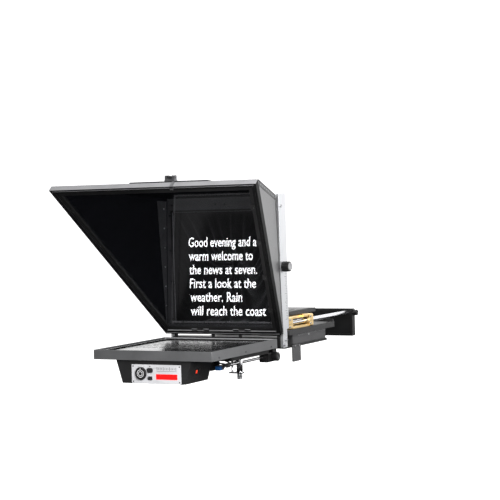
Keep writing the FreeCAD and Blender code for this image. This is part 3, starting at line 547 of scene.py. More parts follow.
def smooth_path(points, steps=10):
    """Catmull-Rom points through the given ones."""
    pts = [Vector(p) for p in points]
    pts = [pts[0] * 2 - pts[1]] + pts + [pts[-1] * 2 - pts[-2]]
    path = []
    for a, b, c, d in zip(pts, pts[1:], pts[2:], pts[3:]):
        for i in range(steps):
            t = i / steps
            path.append(0.5 * ((2 * b) + (c - a) * t + (2 * a - 5 * b + 4 * c - d) * t * t
                               + (3 * b - a - 3 * c + d) * t ** 3))
    path.append(pts[-2])
    return path


def tube(bm, path, radius, sides=12, closed=False):
    """A round tube along path with capped ends."""
    count = len(path)
    rings = []
    normal = None
    for i, p in enumerate(path):
        before = path[i - 1] if (i or closed) else path[0]
        after = path[(i + 1) % count] if (i < count - 1 or closed) else path[-1]
        tangent = (after - before).normalized()
        normal = tangent.orthogonal() if normal is None else normal - tangent * normal.dot(tangent)
        normal.normalize()
        other = tangent.cross(normal)
        rings.append([bm.verts.new(p + (normal * math.cos(2 * math.pi * k / sides)
                                        + other * math.sin(2 * math.pi * k / sides)) * radius)
                      for k in range(sides)])
    pairs = list(zip(rings, rings[1:])) + ([(rings[-1], rings[0])] if closed else [])
    for a, b in pairs:
        for k in range(sides):
            j = (k + 1) % sides
            bm.faces.new((a[k], a[j], b[j], b[k]))
    if not closed:
        bm.faces.new(list(reversed(rings[0])))
        bm.faces.new(rings[-1])


# ---- CAD nodes: finishes and softened edges --------------------------------------------------------
USUAL_EDGE = 0.55      # millimetres


def dress_cad():
    """Gives each CAD node its finish and softens its edges; fine holds edge widths in millimetres."""
    slots = {p["node"]: p["material_slot"] for p in frame["record"]["subparts"]}
    special = {"hood_top_panel": "hood_roof", "control_panel": "panel_silver", "monitor_bezel": "bezel_gloss",
               "accessory_clip": "clip_steel"}
    sharp = {"beam_glass", "lcd_panel", "video_cable", "control_dial", "lcd_backlight"}
    fine = {"hood_screws": 0.2, "camera_screw": 0.25, "thumb_screw_right": 0.25, "thumb_screw_left": 0.25,
            "control_panel": 0.25, "cue_window": 0.3, "accessory_clip": 0.4, "monitor_frame": 0.9,
            "rim_frame": 0.8, "uprights": 0.5}
    for name, obj in NODES.items():
        obj.data.materials.clear()
        obj.data.materials.append(M[special.get(name, slots[name])])
        weld = obj.modifiers.new("weld", "WELD")
        weld.merge_threshold = 2e-5
        if name not in sharp:
            bevelled(obj, fine.get(name, USUAL_EDGE) * MM)


# ---- the prompt on the screen ------------------------------------------------------------------------
PROMPT = (("Good evening and a", 0.2327), ("warm welcome to", 0.219), ("the news at seven.", 0.232),
          ("First a look at the", 0.226), ("weather. Rain", 0.178), ("will reach the coast", 0.256))
CAP_HEIGHT = 0.0285
FIRST_LEFT, LEFT_STEP = -0.138, 0.0026
LAST_LINE, LINE_STEP = 0.019, 0.0414      # last line's distance from the screen's rear edge, and spacing


def flat_text(body):
    """Mesh of one line of lettering, before scaling."""
    curve = bpy.data.curves.new("line", "FONT")
    curve.body = body
    curve.offset = 0.012
    curve.resolution_u = 3
    line = bpy.data.objects.new("line", curve)
    bpy.context.scene.collection.objects.link(line)
    bpy.context.view_layer.update()
    mesh = bpy.data.meshes.new_from_object(line.evaluated_get(bpy.context.evaluated_depsgraph_get()))
    bpy.data.objects.remove(line)
    return mesh


def prompt_text():
    """Lit words on the screen, mirror-written so that they read the right way round in the glass."""
    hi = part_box("lcd_panel")[1]
    tall = CAP_HEIGHT / max(v.co.y for v in flat_text("H").vertices)
    bm = bmesh.new()
    for i, (body, width) in enumerate(PROMPT):
        mesh = flat_text(body)
        left = FIRST_LEFT + LEFT_STEP * i
        foot = hi.y - LAST_LINE - LINE_STEP * (len(PROMPT) - 1 - i)
        start = min(v.co.x for v in mesh.vertices)
        wide = width / (max(v.co.x for v in mesh.vertices) - start)
        for v in mesh.vertices:
            v.co = Vector((left + (v.co.x - start) * wide, foot - v.co.y * tall, hi.z + 0.00015))
        bm.from_mesh(mesh)
    piece("prompt_words", bm, "prompt_text", "monitor", flat=True)


# ---- frames of the sloping parts ---------------------------------------------------------------------
def corners(node, side=1):
    """World points of a CAD node's mesh on one side of the middle."""
    return [v.co.copy() for v in NODES[node].data.vertices if v.co.x * side > 0]


def mouth_frame():
    """Lowest and highest front corners of the mouth at +X, its up direction and its outward direction."""
    points = corners("rim_frame")
    low_z = min(p.z for p in points)
    foot = max((p for p in points if p.z < low_z + 0.0002), key=lambda p: p.x)
    low_y = min(p.y for p in points)
    top = max((p for p in points if p.y < low_y + 0.0002), key=lambda p: p.x)
    up = Vector((0, top.y - foot.y, top.z - foot.z)).normalized()
    return foot, top, up, Vector((0, -up.z, up.y))


FOOT, TOP, UP, OUT = mouth_frame()


def mouth_point(across, along, out):
    """Point on the mouth: across is X, along runs up the slope from the foot, out leaves the plane."""
    base = Vector((across, FOOT.y, FOOT.z))
    return base + UP * along + OUT * out


def mouth_half(along):
    length = (TOP - FOOT).dot(UP)
    return FOOT.x + (TOP.x - FOOT.x) * along / length


def side_corners():
    """Top rear, top front and low rear corners of the right side panel's outer face."""
    points = corners("hood_side_panels")
    rear_y = max(p.y for p in points)
    rear = [p for p in points if p.y > rear_y - 0.0003]
    top = max(rear, key=lambda p: p.z * 10 + p.x)
    low = max(rear, key=lambda p: p.x - p.z)
    front = max(points, key=lambda p: p.x)
    return top, front, low


def side_face():
    """The right side panel's corners with its outward normal."""
    top, front, low = side_corners()
    normal = (front - top).cross(low - top).normalized()
    return top, front, low, normal if normal.x > 0 else -normal


def sheet(bm, outline, normal, thick):
    """A flat plate on outline, thick along normal."""
    base = [bm.verts.new(p) for p in outline]
    over = [bm.verts.new(Vector(p) + normal * thick) for p in outline]
    bm.faces.new(base)
    bm.faces.new(list(reversed(over)))
    count = len(base)
    for i in range(count):
        j = (i + 1) % count
        bm.faces.new((base[i], base[j], over[j], over[i]))


def dome(bm, centre, axis, radius, height, steps=14):
    lathe(bm, [(-0.0003, radius), (height * 0.45, radius * 0.93), (height * 0.85, radius * 0.6), (height, 0)],
          centre, axis, steps)


def hex_screw(bm, centre, axis, radius, height, steps=20):
    """Cap-screw head with a chamfered rim and a sunk socket."""
    lathe(bm, [(-0.0004, radius), (height * 0.8, radius), (height, radius * 0.88), (height, radius * 0.5),
               (height * 0.35, radius * 0.46), (height * 0.3, 0)], centre, axis, steps)


def flip(vector):
    return Vector((-vector.x, vector.y, vector.z))


BOTH_SIDES = (Vector, flip)      # a right-hand point as it is, and mirrored to the left


# ---- hood ------------------------------------------------------------------------------------------------
def hood_trims():
    """Folded edge strips of the side panels and roof, with their rivets."""
    top, front, low, normal = side_face()
    along = (front - top).normalized()
    inward = (low - top) - along * (low - top).dot(along)
    inward.normalize()
    down = (low - top).normalized()
    forward = (front - top) - down * (front - top).dot(down)
    forward.normalize()
    gap, band, rear_band, thick = 0.002, 0.013, 0.009, 0.0011
    strips, rivets = bmesh.new(), bmesh.new()
    for turn in BOTH_SIDES:
        a, b = top + along * 0.002, front - along * 0.024
        sheet(strips, [turn(p) for p in (a, b, b + inward * band, a + inward * band)], turn(normal), thick)
        c, d = top + inward * (band + gap), low - down * 0.03
        outline = (c, d, d + forward * rear_band, c + forward * rear_band)
        sheet(strips, [turn(p) for p in outline], turn(normal), thick)
        for i in range(9):
            spot = a.lerp(b, (i + 0.5) / 9) + inward * band * 0.5 + normal * thick
            dome(rivets, turn(spot), turn(normal), 0.0021, 0.0009)
        for i in range(7):
            spot = c.lerp(d, (i + 0.5) / 7) + forward * rear_band * 0.5 + normal * thick
            dome(rivets, turn(spot), turn(normal), 0.0019, 0.0008)
    roof_edge(strips, rivets)
    piece("hood_edge_strips", strips, "trim_dark", "hood", soften=0.0003)
    piece("hood_rivets", rivets, "steel_screws", "hood")


def roof_edge(strips, rivets):
    """Strips along the roof's rear edge and its two side edges, with rivets in the side ones."""
    high, fore = high_points("hood_top_panel")
    up = (fore - high).cross(Vector((1, 0, 0))).normalized()
    up = up if up.z > 0 else -up
    along = (fore - high).normalized()
    inward = Vector((-1, 0, 0)) - along * along.dot(Vector((-1, 0, 0)))
    inward.normalize()
    band, thick = 0.011, 0.0011
    for turn in BOTH_SIDES:
        a, b = high, fore - along * 0.012
        sheet(strips, [turn(p) for p in (a, b, b + inward * band, a + inward * band)], turn(up), thick)
        for i in range(9):
            spot = a.lerp(b, (i + 0.5) / 9) + inward * band / 2 + up * thick
            dome(rivets, turn(spot), turn(up), 0.0021, 0.0009)
    wide = high.x - 0.013
    rise = (fore.z - high.z) / (high.y - fore.y)
    rear = [Vector((x, y, high.z + (high.y - y) * rise))
            for x, y in ((-wide, high.y), (wide, high.y), (wide, high.y - band), (-wide, high.y - band))]
    sheet(strips, rear, up, thick)


def high_points(node):
    """Rear and front outer corners of the top panel at +X."""
    points = corners(node)
    rear_y = max(p.y for p in points)
    rear = max((p for p in points if p.y > rear_y - 0.0003), key=lambda p: p.z * 10 + p.x)
    return rear, max(points, key=lambda p: p.x + p.z)


def corner_liners():
    """Tapered alloy strips that line the side walls where they meet the back frame, with their rivets."""
    top, front, low, normal = side_face()
    along, down = (front - top).normalized(), (low - top).normalized()
    thick = max((top - p).dot(normal) for p in corners("hood_side_panels"))
    inset = -normal * (thick + 0.0002)
    rear_top = top + down * 0.008 + along * 0.004 + inset
    rear_low = low - down * 0.012 + along * 0.003 + inset
    fore_top, fore_low = rear_top + along * 0.036, rear_low + along * 0.003
    strips, rivets = bmesh.new(), bmesh.new()
    for turn in BOTH_SIDES:
        sheet(strips, [turn(p) for p in (rear_top, fore_top, fore_low, rear_low)], turn(-normal), 0.0009)
        first, last = rear_top + along * 0.011, rear_low + along * 0.002
        for i in range(6):
            spot = first.lerp(last, (i + 0.4) / 6.4) - normal * 0.0009
            dome(rivets, turn(spot), turn(-normal), 0.0024, 0.001)
    piece("corner_liners", strips, "black_alloy_sheet", "hood", soften=0.0003)
    piece("corner_liner_rivets", rivets, "steel_screws", "hood")


def rim_details():
    """Mitre lines at the rim's corners, and the screwed clips that hold the glass."""
    length = (TOP - FOOT).dot(UP)
    lines = bmesh.new()
    lean = math.atan2(TOP.x - FOOT.x, length)
    inset = 0.014
    for side in (1, -1):
        for start, sign in ((0.0, 1), (length, -1)):
            outer = mouth_point(side * mouth_half(start), start, 0)
            along = start + sign * inset
            inner = mouth_point(side * (mouth_half(along) - inset / math.cos(lean)), along, 0)
            run = (inner - outer).normalized()
            across = run.cross(OUT).normalized() * 0.00025
            sheet(lines, (outer - across, inner - across, inner + across, outer + across), OUT, 0.00008)
    piece("rim_mitre_lines", lines, "ink_dark", "hood", flat=True)
    clips, screws = bmesh.new(), bmesh.new()
    for side in (1, -1):
        for k in range(4):
            along = 0.09 + k * 0.135
            half = mouth_half(along) - 0.0155 / math.cos(lean)
            slope = Vector((math.sin(lean) * side, 0, 0)) + UP * math.cos(lean)
            inner = Vector((-math.cos(lean) * side, 0, 0)) + UP * math.sin(lean)
            corner = mouth_point(side * half, along, -0.004)
            outline = [corner, corner + slope * 0.02, corner + slope * 0.02 + inner * 0.013,
                       corner + inner * 0.013]
            sheet(clips, outline, OUT, 0.0018)
            dome(screws, corner + slope * 0.01 + inner * 0.0035 + OUT * 0.0018, OUT, 0.0022, 0.0011)
    piece("glass_clips", clips, "black_plastic", "glass", soften=0.0004)
    piece("glass_clip_screws", screws, "dark_screws", "glass")


def opening_edges():
    """Grey strips down both sides of the back frame's opening, a painted highlight of its lit edges, and a
    felt strip round it.
    """
    lo = low("hood_back_frame")
    shroud_lo, shroud_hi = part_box("lens_shroud")
    half = shroud_hi.x - 0.008
    z0, z1 = shroud_lo.z + 0.008, shroud_hi.z - 0.008
    # Painted highlight: thin grey strips stand in for the lit side edges of the opening.
    painted_highlight_strips = bmesh.new()
    for side in (1, -1):
        x = side * half
        add_box(painted_highlight_strips, (x - 0.0007, lo.y - 0.0004, z0), (x + 0.0007, lo.y + 0.0003, z1))
    piece("opening_painted_highlights", painted_highlight_strips, "edge_grey", "hood", flat=True)
    felt = bmesh.new()
    for x0, x1, a, b in ((-half - 0.007, -half - 0.001, z0 - 0.007, z1 + 0.007),
                         (half + 0.001, half + 0.007, z0 - 0.007, z1 + 0.007),
                         (-half - 0.001, half + 0.001, z0 - 0.007, z0 - 0.001),
                         (-half - 0.001, half + 0.001, z1 + 0.001, z1 + 0.007)):
        add_box(felt, (x0, lo.y - 0.0012, a), (x1, lo.y + 0.0002, b))
    piece("opening_felt", felt, "foam_black", "hood", soften=0.0004)


SLEEVE_TAPER = 0.7          # share of the sleeve's length that tapers, before it is drawn in
SLEEVE_MOUTH = 0.066        # half width where it starts to be drawn in
SLEEVE_EDGE = 0.003         # how far it starts inside its CAD box
DRAPE_FRAMES = 26


def cloth_rings(count, around):
    """Rest shape of the lens sleeve: a square skirt that tapers, then draws in to a puckered mouth."""
    lo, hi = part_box("lens_shroud")
    mid = (lo + hi) / 2
    span = hi.y - lo.y
    half_x, half_z = (hi.x - lo.x) / 2, (hi.z - lo.z) / 2
    rings = []
    for i in range(count):
        t = i / (count - 1)
        body = min(t / SLEEVE_TAPER, 1.0)
        close = max((t - SLEEVE_TAPER) / (1 - SLEEVE_TAPER), 0.0)
        ring = []
        for k in range(around):
            a = 2 * math.pi * k / around
            ca, sa = math.cos(a), math.sin(a)
            power = 2.4 + 44.0 * (1.0 - body) ** 3
            norm = (abs(ca) ** power + abs(sa) ** power) ** (-1 / power)
            rx = half_x - SLEEVE_EDGE + (SLEEVE_MOUTH - half_x + SLEEVE_EDGE) * body
            rz = half_z - SLEEVE_EDGE + (SLEEVE_MOUTH - half_z + SLEEVE_EDGE) * body
            shrink = 1.0 - close * 0.9
            fold = math.sin(a * 23 + 0.7 * math.sin(a * 3)) * (0.0008 + 0.0035 * t * t)
            x = mid.x + ca * norm * rx * shrink
            z = mid.z + sa * norm * rz * shrink
            reach = lo.y + 0.0005 + (span - 0.008) * body + 0.008 * math.sin(close * math.pi * 0.75)
            rim = (1.0 - close) * fold
            ring.append(Vector((x + ca * rim, reach + close * fold * 1.3, z + sa * rim)))
        rings.append(ring)
    return rings


def lens_sleeve():
    """Black cloth sleeve behind the opening, held at the frame and drawn in by a cord round its mouth."""
    count, around = 34, 136
    rings = cloth_rings(count, around)
    verts = [p for ring in rings for p in ring] + [sum(rings[-1], Vector()) / around]
    faces = [(i * around + k, i * around + (k + 1) % around, (i + 1) * around + (k + 1) % around,
              (i + 1) * around + k) for i in range(count - 1) for k in range(around)]
    last = (count - 1) * around
    faces += [(last + k, last + (k + 1) % around, count * around) for k in range(around)]
    shape = bpy.data.meshes.new("sleeve_shape")
    shape.from_pydata([tuple(v) for v in verts], [], faces)
    bm = bmesh.new()
    bm.from_mesh(shape)
    bpy.data.meshes.remove(shape)
    obj = from_bmesh("lens_sleeve", bm, "black_cloth")
    drape(obj, count, around)
    solid = obj.modifiers.new("cloth_thickness", "SOLIDIFY")
    solid.thickness = 0.0012
    solid.offset = 0.0
    place(obj, "hood")
    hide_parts("lens_shroud")
    centre = obj.data.vertices[count * around].co.copy()
    cord = bmesh.new()
    loop = []
    for k in range(72):
        a = 2 * math.pi * k / 72
        r = 0.0085 + 0.0004 * math.sin(9 * a)
        loop.append(centre + Vector((math.cos(a) * r, 0.0016, math.sin(a) * r)))
    tube(cord, loop, 0.0013, 8, True)
    for side in (1, -1):
        tail = smooth_path([centre + Vector((0.002 * side, 0.0018, -0.0085)),
                            centre + Vector((0.004 * side, 0.004, -0.022)),
                            centre + Vector((0.011 * side, 0.002, -0.045)),
                            centre + Vector((0.009 * side, -0.004, -0.075 - 0.008 * side))], 8)
        tube(cord, tail, 0.0012, 8)
    piece("sleeve_cord", cord, "cable_jacket", "hood")
    lock = bmesh.new()
    barrel = [(-0.006, 0.0), (-0.006, 0.004), (-0.004, 0.0052), (0.004, 0.0052), (0.006, 0.004), (0.006, 0.0)]
    lathe(lock, barrel,
          centre + Vector((0, 0.003, -0.014)), (0, 0, 1), 20)
    piece("sleeve_cord_lock", lock, "black_plastic", "hood")


def drape(obj, count, around):
    """Lets the sleeve sag and crease, pinned at the frame and at its cord, and keeps the result."""
    pins = obj.vertex_groups.new(name="pins")
    pins.add(list(range(2 * around)), 1.0, "REPLACE")
    pins.add(list(range((count - 2) * around, count * around + 1)), 1.0, "REPLACE")
    cloth = obj.modifiers.new("drape", "CLOTH")
    settings = cloth.settings
    settings.quality = 6
    settings.mass = 0.25
    settings.tension_stiffness = 12
    settings.compression_stiffness = 4
    settings.shear_stiffness = 4
    settings.bending_stiffness = 0.15
    settings.vertex_group_mass = "pins"
    settings.shrink_min = -0.045
    cloth.collision_settings.use_self_collision = False
    cloth.collision_settings.use_collision = False
    scene = bpy.context.scene
    scene.frame_start, scene.frame_end = 1, DRAPE_FRAMES
    cloth.point_cache.frame_start, cloth.point_cache.frame_end = 1, DRAPE_FRAMES
    for step in range(1, DRAPE_FRAMES + 1):
        scene.frame_set(step)
    graph = bpy.context.evaluated_depsgraph_get()
    baked = obj.evaluated_get(graph)
    settled = [v.co.copy() for v in baked.data.vertices]
    obj.modifiers.remove(cloth)
    obj.vertex_groups.clear()
    lo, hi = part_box("lens_shroud")
    for vertex, co in zip(obj.data.vertices, settled):
        co.y = min(max(co.y, lo.y + 0.0004), hi.y + 0.008)
        vertex.co = co
    scene.frame_set(1)


def sleeve_binding():
    """Screwed strip that clamps the sleeve to the back of the frame."""
    lo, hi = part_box("lens_shroud")
    y0, y1 = lo.y + 0.0012, lo.y + 0.0032
    bm, studs = bmesh.new(), bmesh.new()
    w = 0.007
    for x0, x1, z0, z1 in ((lo.x, lo.x + w, lo.z, hi.z), (hi.x - w, hi.x, lo.z, hi.z),
                           (lo.x + w, hi.x - w, lo.z, lo.z + w), (lo.x + w, hi.x - w, hi.z - w, hi.z)):
        add_box(bm, (x0, y0, z0), (x1, y1, z1))
    for i in range(8):
        z = lo.z + (hi.z - lo.z) * (i + 0.5) / 8
        for x in (lo.x + w / 2, hi.x - w / 2):
            dome(studs, Vector((x, y1, z)), (0, 1, 0), 0.0022, 0.001)
    for i in range(8):
        x = lo.x + w + (hi.x - lo.x - 2 * w) * (i + 0.5) / 8
        for z in (lo.z + w / 2, hi.z - w / 2):
            dome(studs, Vector((x, y1, z)), (0, 1, 0), 0.0022, 0.001)
    piece("sleeve_binding", bm, "black_sheet", "hood", soften=0.0004)
    piece("sleeve_studs", studs, "steel_screws", "hood")


# ---- knobs, scales and control panel -----------------------------------------------------------------
def knob_cap(name, node, body, axis, radius, thick, mat="cap_grey"):
    """Pressed-in cap on a knob's outer face; axis points out of the knob."""
    axis = Vector(axis)
    lo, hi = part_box(node)
    centre = (lo + hi) / 2
    for i in range(3):
        if axis[i]:
            centre[i] = hi[i] if axis[i] > 0 else lo[i]
    bm = bmesh.new()
    lathe(bm, [(-0.0004, radius), (thick * 0.6, radius), (thick * 0.9, radius * 0.94), (thick, radius * 0.8),
               (thick * 0.82, radius * 0.74), (thick * 0.8, 0)], centre, axis, 40)
    piece(name, bm, mat, body)


def all_knob_caps():
    for side, x in (("right", 1), ("left", -1)):
        knob_cap("hood_knob_cap_" + side, "hood_knob_" + side, "hood_lock_" + side, (x, 0, 0), 0.0115, 0.0022)
        knob_cap("arm_knob_cap_" + side, "arm_knob_" + side, "arm_lock_" + side, (x, 0, 0), 0.0085, 0.0012,
                 "dark_gloss")
        knob_cap("thumb_screw_cap_" + side, "thumb_screw_" + side, "post_lock_" + side, (0, 0, -1),
                 0.005, 0.0008, "steel_screws")
    knob_cap("carriage_knob_cap", "carriage_knob", "carriage_lock", (-1, 0, 0), 0.008, 0.0012, "dark_gloss")
    knob_cap("rear_knob_cap", "rear_knob", "rear_lock", (1, 0, 0), 0.006, 0.001, "dark_gloss")


SCALE_PITCH = 0.005


def tick(i, long, short):
    """Length of mark i on a scale whose every fifth mark is a long one."""
    return long if i % 5 == 0 else short


def upright_scales():
    """Height marks on the outer face of each upright."""
    lo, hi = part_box("uprights")
    first_mark, margin = 0.082, 0.008      # above the upright's foot, and in from its rear edge
    bm = bmesh.new()
    for side in (1, -1):
        face = hi.x if side > 0 else lo.x
        x0, x1 = sorted((face - side * 0.0001, face + side * 0.00012))
        for i in range(31):
            z = lo.z + first_mark + i * SCALE_PITCH
            width = tick(i, 0.012, 0.006)
            add_box(bm, (x0, hi.y - margin - width, z), (x1, hi.y - margin, z + 0.0009))
    piece("upright_scales", bm, "ink_dark", "prompter", flat=True)


def panel_marks():
    """Ticks and rings of the dial, a plus over the upper key, a level scale and the panel's screws."""
    face = low("control_panel").y
    y0, y1 = face - 0.00012, face + 0.0001
    centre = middle("control_dial")
    bm = bmesh.new()
    for i in range(11):
        a = math.radians(225 - 27 * i)
        r0, r1 = 0.0192, 0.0216 if i % 5 else 0.0226
        p = Vector((centre.x, y1, centre.z)) + Vector((math.cos(a), 0, math.sin(a))) * r0
        q = Vector((centre.x, y1, centre.z)) + Vector((math.cos(a), 0, math.sin(a))) * r1
        across = Vector((-math.sin(a), 0, math.cos(a))) * 0.00035
        sheet(bm, (p - across, q - across, q + across, p + across), Vector((0, -1, 0)), 0.00022)
    cue_lo, cue_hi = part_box("cue_window")
    wide = cue_hi.x - cue_lo.x
    z = high("control_panel").z - 0.011
    for i in range(13):
        x = cue_lo.x + 0.004 + (wide - 0.008) * i / 12
        tall = 0.009 if i % 4 == 0 else 0.0055
        add_box(bm, (x - 0.0006, y0, z - tall / 2), (x + 0.0006, y1, z + tall / 2))
    add_box(bm, (cue_lo.x + 0.002, y0, z - 0.0072), (cue_hi.x - 0.002, y1, z - 0.0064))
    key = middle("key_high")
    add_box(bm, (key.x - 0.0025, y0, key.z + 0.0105), (key.x + 0.0025, y1, key.z + 0.0115))
    add_box(bm, (key.x - 0.0005, y0, key.z + 0.0085), (key.x + 0.0005, y1, key.z + 0.0135))
    piece("panel_marks", bm, "ink_dark", "monitor", flat=True)
    tips = bmesh.new()
    dial = low("control_dial").y
    add_box(tips, (centre.x - 0.0006, dial - 0.00015, centre.z + 0.0112),
            (centre.x + 0.0006, dial + 0.0004, centre.z + 0.0162))
    for radius in (0.0052, 0.0095):
        ring = [(-0.0002, radius), (0.00025, radius), (0.00025, radius + 0.0013), (-0.0002, radius + 0.0013)]
        lathe(tips, ring,
              Vector((centre.x, dial, centre.z)), (0, -1, 0), 36)
    piece("dial_pointer", tips, "white_plastic", "dial", flat=True)
    screws = bmesh.new()
    lo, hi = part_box("control_panel")
    for x in (lo.x + 0.005, hi.x - 0.005):
        for z in (lo.z + 0.005, hi.z - 0.005):
            dome(screws, Vector((x, lo.y, z)), (0, -1, 0), 0.0021, 0.0008)
    piece("panel_screws", screws, "dark_screws", "monitor")


def dial_ribs():
    """Grip ribs round the dial's rim."""
    lo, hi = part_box("control_dial")
    centre = middle("control_dial")
    radius = (hi.x - lo.x) / 2
    bm = bmesh.new()
    for i in range(30):
        a = 2 * math.pi * i / 30
        out = Vector((math.cos(a), 0, math.sin(a)))
        side = Vector((-math.sin(a), 0, math.cos(a))) * 0.0006
        foot = Vector((centre.x, lo.y + 0.0014, centre.z)) + out * (radius - 0.0006)
        sheet(bm, (foot - side, foot + side, foot + side + out * 0.0011, foot - side + out * 0.0011),
              Vector((0, 1, 0)), 0.0032)
    piece("dial_ribs", bm, "dark_gloss", "dial", soften=0.0002)


def rocker_mark():
    """Red mark on the front half of the power rocker."""
    joint = next(j for j in frame["record"]["behaviour"]["joints"] if j["name"] == "rocker_tilt")
    axis = Vector(joint["axis"]).normalized()
    out = Vector((0, 1, 0)).cross(axis).normalized()
    origin = Vector(joint["pos_m"])
    points = [v.co - origin for v in NODES["power_rocker"].data.vertices]
    crest = max(p.dot(out) for p in points)
    fore = max(-p.y for p in points)
    edge = min(p.dot(out) for p in points if -p.y > fore - 0.0002 and p.dot(out) > 0)
    fall = (edge - crest) / fore
    bm = bmesh.new()
    quad = [(0.003, -0.0045), (0.009, -0.0045), (0.009, 0.0045), (0.003, 0.0045)]
    face = [origin + Vector((0, -run, 0)) + axis * up + out * (crest + fall * run) for run, up in quad]
    base = [bm.verts.new(p - out * 0.0002) for p in face]
    over = [bm.verts.new(p + out * 0.0003) for p in face]
    bm.faces.new(base)
    bm.faces.new(over)
    for i in range(4):
        j = (i + 1) % 4
        bm.faces.new((base[i], base[j], over[j], over[i]))
    piece("rocker_mark", bm, "signal_red", "rocker", soften=0.0001)


# ---- monitor -----------------------------------------------------------------------------------------
def monitor_details():
    """Mitre lines, side and rear screws, and the gasket round the screen."""
    lo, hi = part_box("monitor_frame")
    lines, screws = bmesh.new(), bmesh.new()
    wall = 0.004
    for sx in (1, -1):
        for sy in (1, -1):
            corner = Vector((hi.x if sx > 0 else lo.x, hi.y if sy > 0 else lo.y, hi.z))
            inner = corner + Vector((-sx * wall, -sy * wall, 0))
            across = Vector((sy, -sx, 0)).normalized() * 0.00018
            sheet(lines, (corner - across, inner - across, inner + across, corner + across),
                  Vector((0, 0, 1)), 0.00006)
    piece("monitor_mitre_lines", lines, "ink_dark", "monitor", flat=True)
    for sx in (1, -1):
        for y in (lo.y + 0.04, (lo.y + hi.y) / 2, hi.y - 0.04):
            x = hi.x if sx > 0 else lo.x
            dome(screws, Vector((x, y, lo.z + 0.008)), (sx, 0, 0), 0.0028, 0.0013, 20)
    piece("monitor_side_screws", screws, "dark_screws", "monitor")
    back_lo, back_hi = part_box("rear_bezel")
    heads = bmesh.new()
    for i in range(5):
        x = back_lo.x + (back_hi.x - back_lo.x) * (i + 0.5) / 5
        dome(heads, Vector((x, (back_lo.y + back_hi.y) / 2, back_hi.z)), (0, 0, 1), 0.0024, 0.0009)
    piece("rear_bezel_screws", heads, "dark_screws", "monitor")
    lcd_lo, lcd_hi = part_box("monitor_bezel")
    gasket = bmesh.new()
    for x0, x1, y0, y1 in ((lcd_lo.x + 0.0005, lcd_lo.x + 0.002, lcd_lo.y + 0.0005, lcd_hi.y - 0.0005),
                           (lcd_hi.x - 0.002, lcd_hi.x - 0.0005, lcd_lo.y + 0.0005, lcd_hi.y - 0.0005),
                           (lcd_lo.x + 0.002, lcd_hi.x - 0.002, lcd_lo.y + 0.0005, lcd_lo.y + 0.002)):
        add_box(gasket, (x0, y0, lcd_hi.z - 0.0003), (x1, y1, lcd_hi.z + 0.0006))
    piece("screen_gasket", gasket, "black_rubber", "monitor", flat=True)


def monitor_under():
    """Screws and feet under the monitor."""
    lo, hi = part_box("back_pan")
    screws, feet = bmesh.new(), bmesh.new()
    for x in (lo.x + 0.012, 0.0, hi.x - 0.012):
        for y in (lo.y + 0.03, hi.y - 0.012):
            dome(screws, Vector((x, y, lo.z)), (0, 0, -1), 0.0032, 0.0014, 20)
    piece("back_pan_screws", screws, "dark_screws", "monitor")
    box_lo, box_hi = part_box("control_housing")
    for x in (box_lo.x + 0.04, box_hi.x - 0.04):
        for y in (box_lo.y + 0.02, box_hi.y - 0.02):
            lathe(feet, [(-0.0004, 0.006), (0.0022, 0.0056), (0.0028, 0.0048), (0.0028, 0)],
                  Vector((x, y, box_lo.z)), (0, 0, -1), 24)
    piece("housing_feet", feet, "black_rubber", "monitor")


def plug_and_leads():
    """Blue ribbed shell over the video plug, and the power lead, which runs back under the monitor."""
    block_hi = high("connector_block")
    cable_lo, cable_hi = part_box("video_cable")
    x0, x1 = block_hi.x - 0.0002, cable_hi.x + 0.0006
    shell = bmesh.new()
    add_box(shell, (x0, cable_lo.y - 0.0006, cable_lo.z - 0.0006),
            (x1, cable_lo.y + 0.0136, cable_lo.z + 0.0116))
    piece("video_plug_shell", shell, "blue_plug", "monitor", soften=0.0018)
    ribs = bmesh.new()
    for i in range(3):
        y = cable_lo.y + 0.002 + i * 0.0036
        add_box(ribs, (x1 - 0.0002, y, cable_lo.z + 0.002), (x1 + 0.0006, y + 0.0018, cable_lo.z + 0.009))
    piece("video_plug_ribs", ribs, "blue_plug", "monitor", soften=0.0003)
    lead = bmesh.new()
    start = Vector((block_hi.x - 0.002, cable_lo.y + 0.012, cable_lo.z + 0.019))
    path = smooth_path([start, start + Vector((0.012, 0.004, -0.001)), start + Vector((0.017, 0.03, -0.006)),
                        start + Vector((0.004, 0.07, -0.006)), start + Vector((-0.03, 0.1, -0.002)),
                        start + Vector((-0.045, 0.14, 0.0035))], 10)
    tube(lead, path, 0.0021, 10)
    lathe(lead, [(-0.004, 0.0), (-0.004, 0.0048), (0.008, 0.0048), (0.0105, 0.0032), (0.0105, 0.0)],
          start, (1, 0, 0), 20)
    piece("power_lead", lead, "cable_jacket", "monitor")


# ---- rods, carriage and base -------------------------------------------------------------------------
def gold_block_screws():
    """Clamp screws and split lines of the carriage blocks."""
    lo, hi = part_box("carriage_blocks")
    screws, slits = bmesh.new(), bmesh.new()
    length = 0.028
    for y in (lo.y + length / 2, hi.y - length / 2):
        for side in (1, -1):
            x = hi.x if side > 0 else lo.x
            for z in (lo.z + 0.009, hi.z - 0.008):
                hex_screw(screws, Vector((x, y - 0.006, z)), (side, 0, 0), 0.0032, 0.0016)
            s0, s1 = sorted((x - side * 0.0001, x + side * 0.00012))
            add_box(slits, (s0, y - length / 2 + 0.001, lo.z + 0.0172),
                    (s1, y + length / 2 - 0.001, lo.z + 0.018))
    piece("carriage_clamp_screws", screws, "steel_screws", "carriage")
    piece("carriage_split_lines", slits, "ink_dark", "carriage", flat=True)


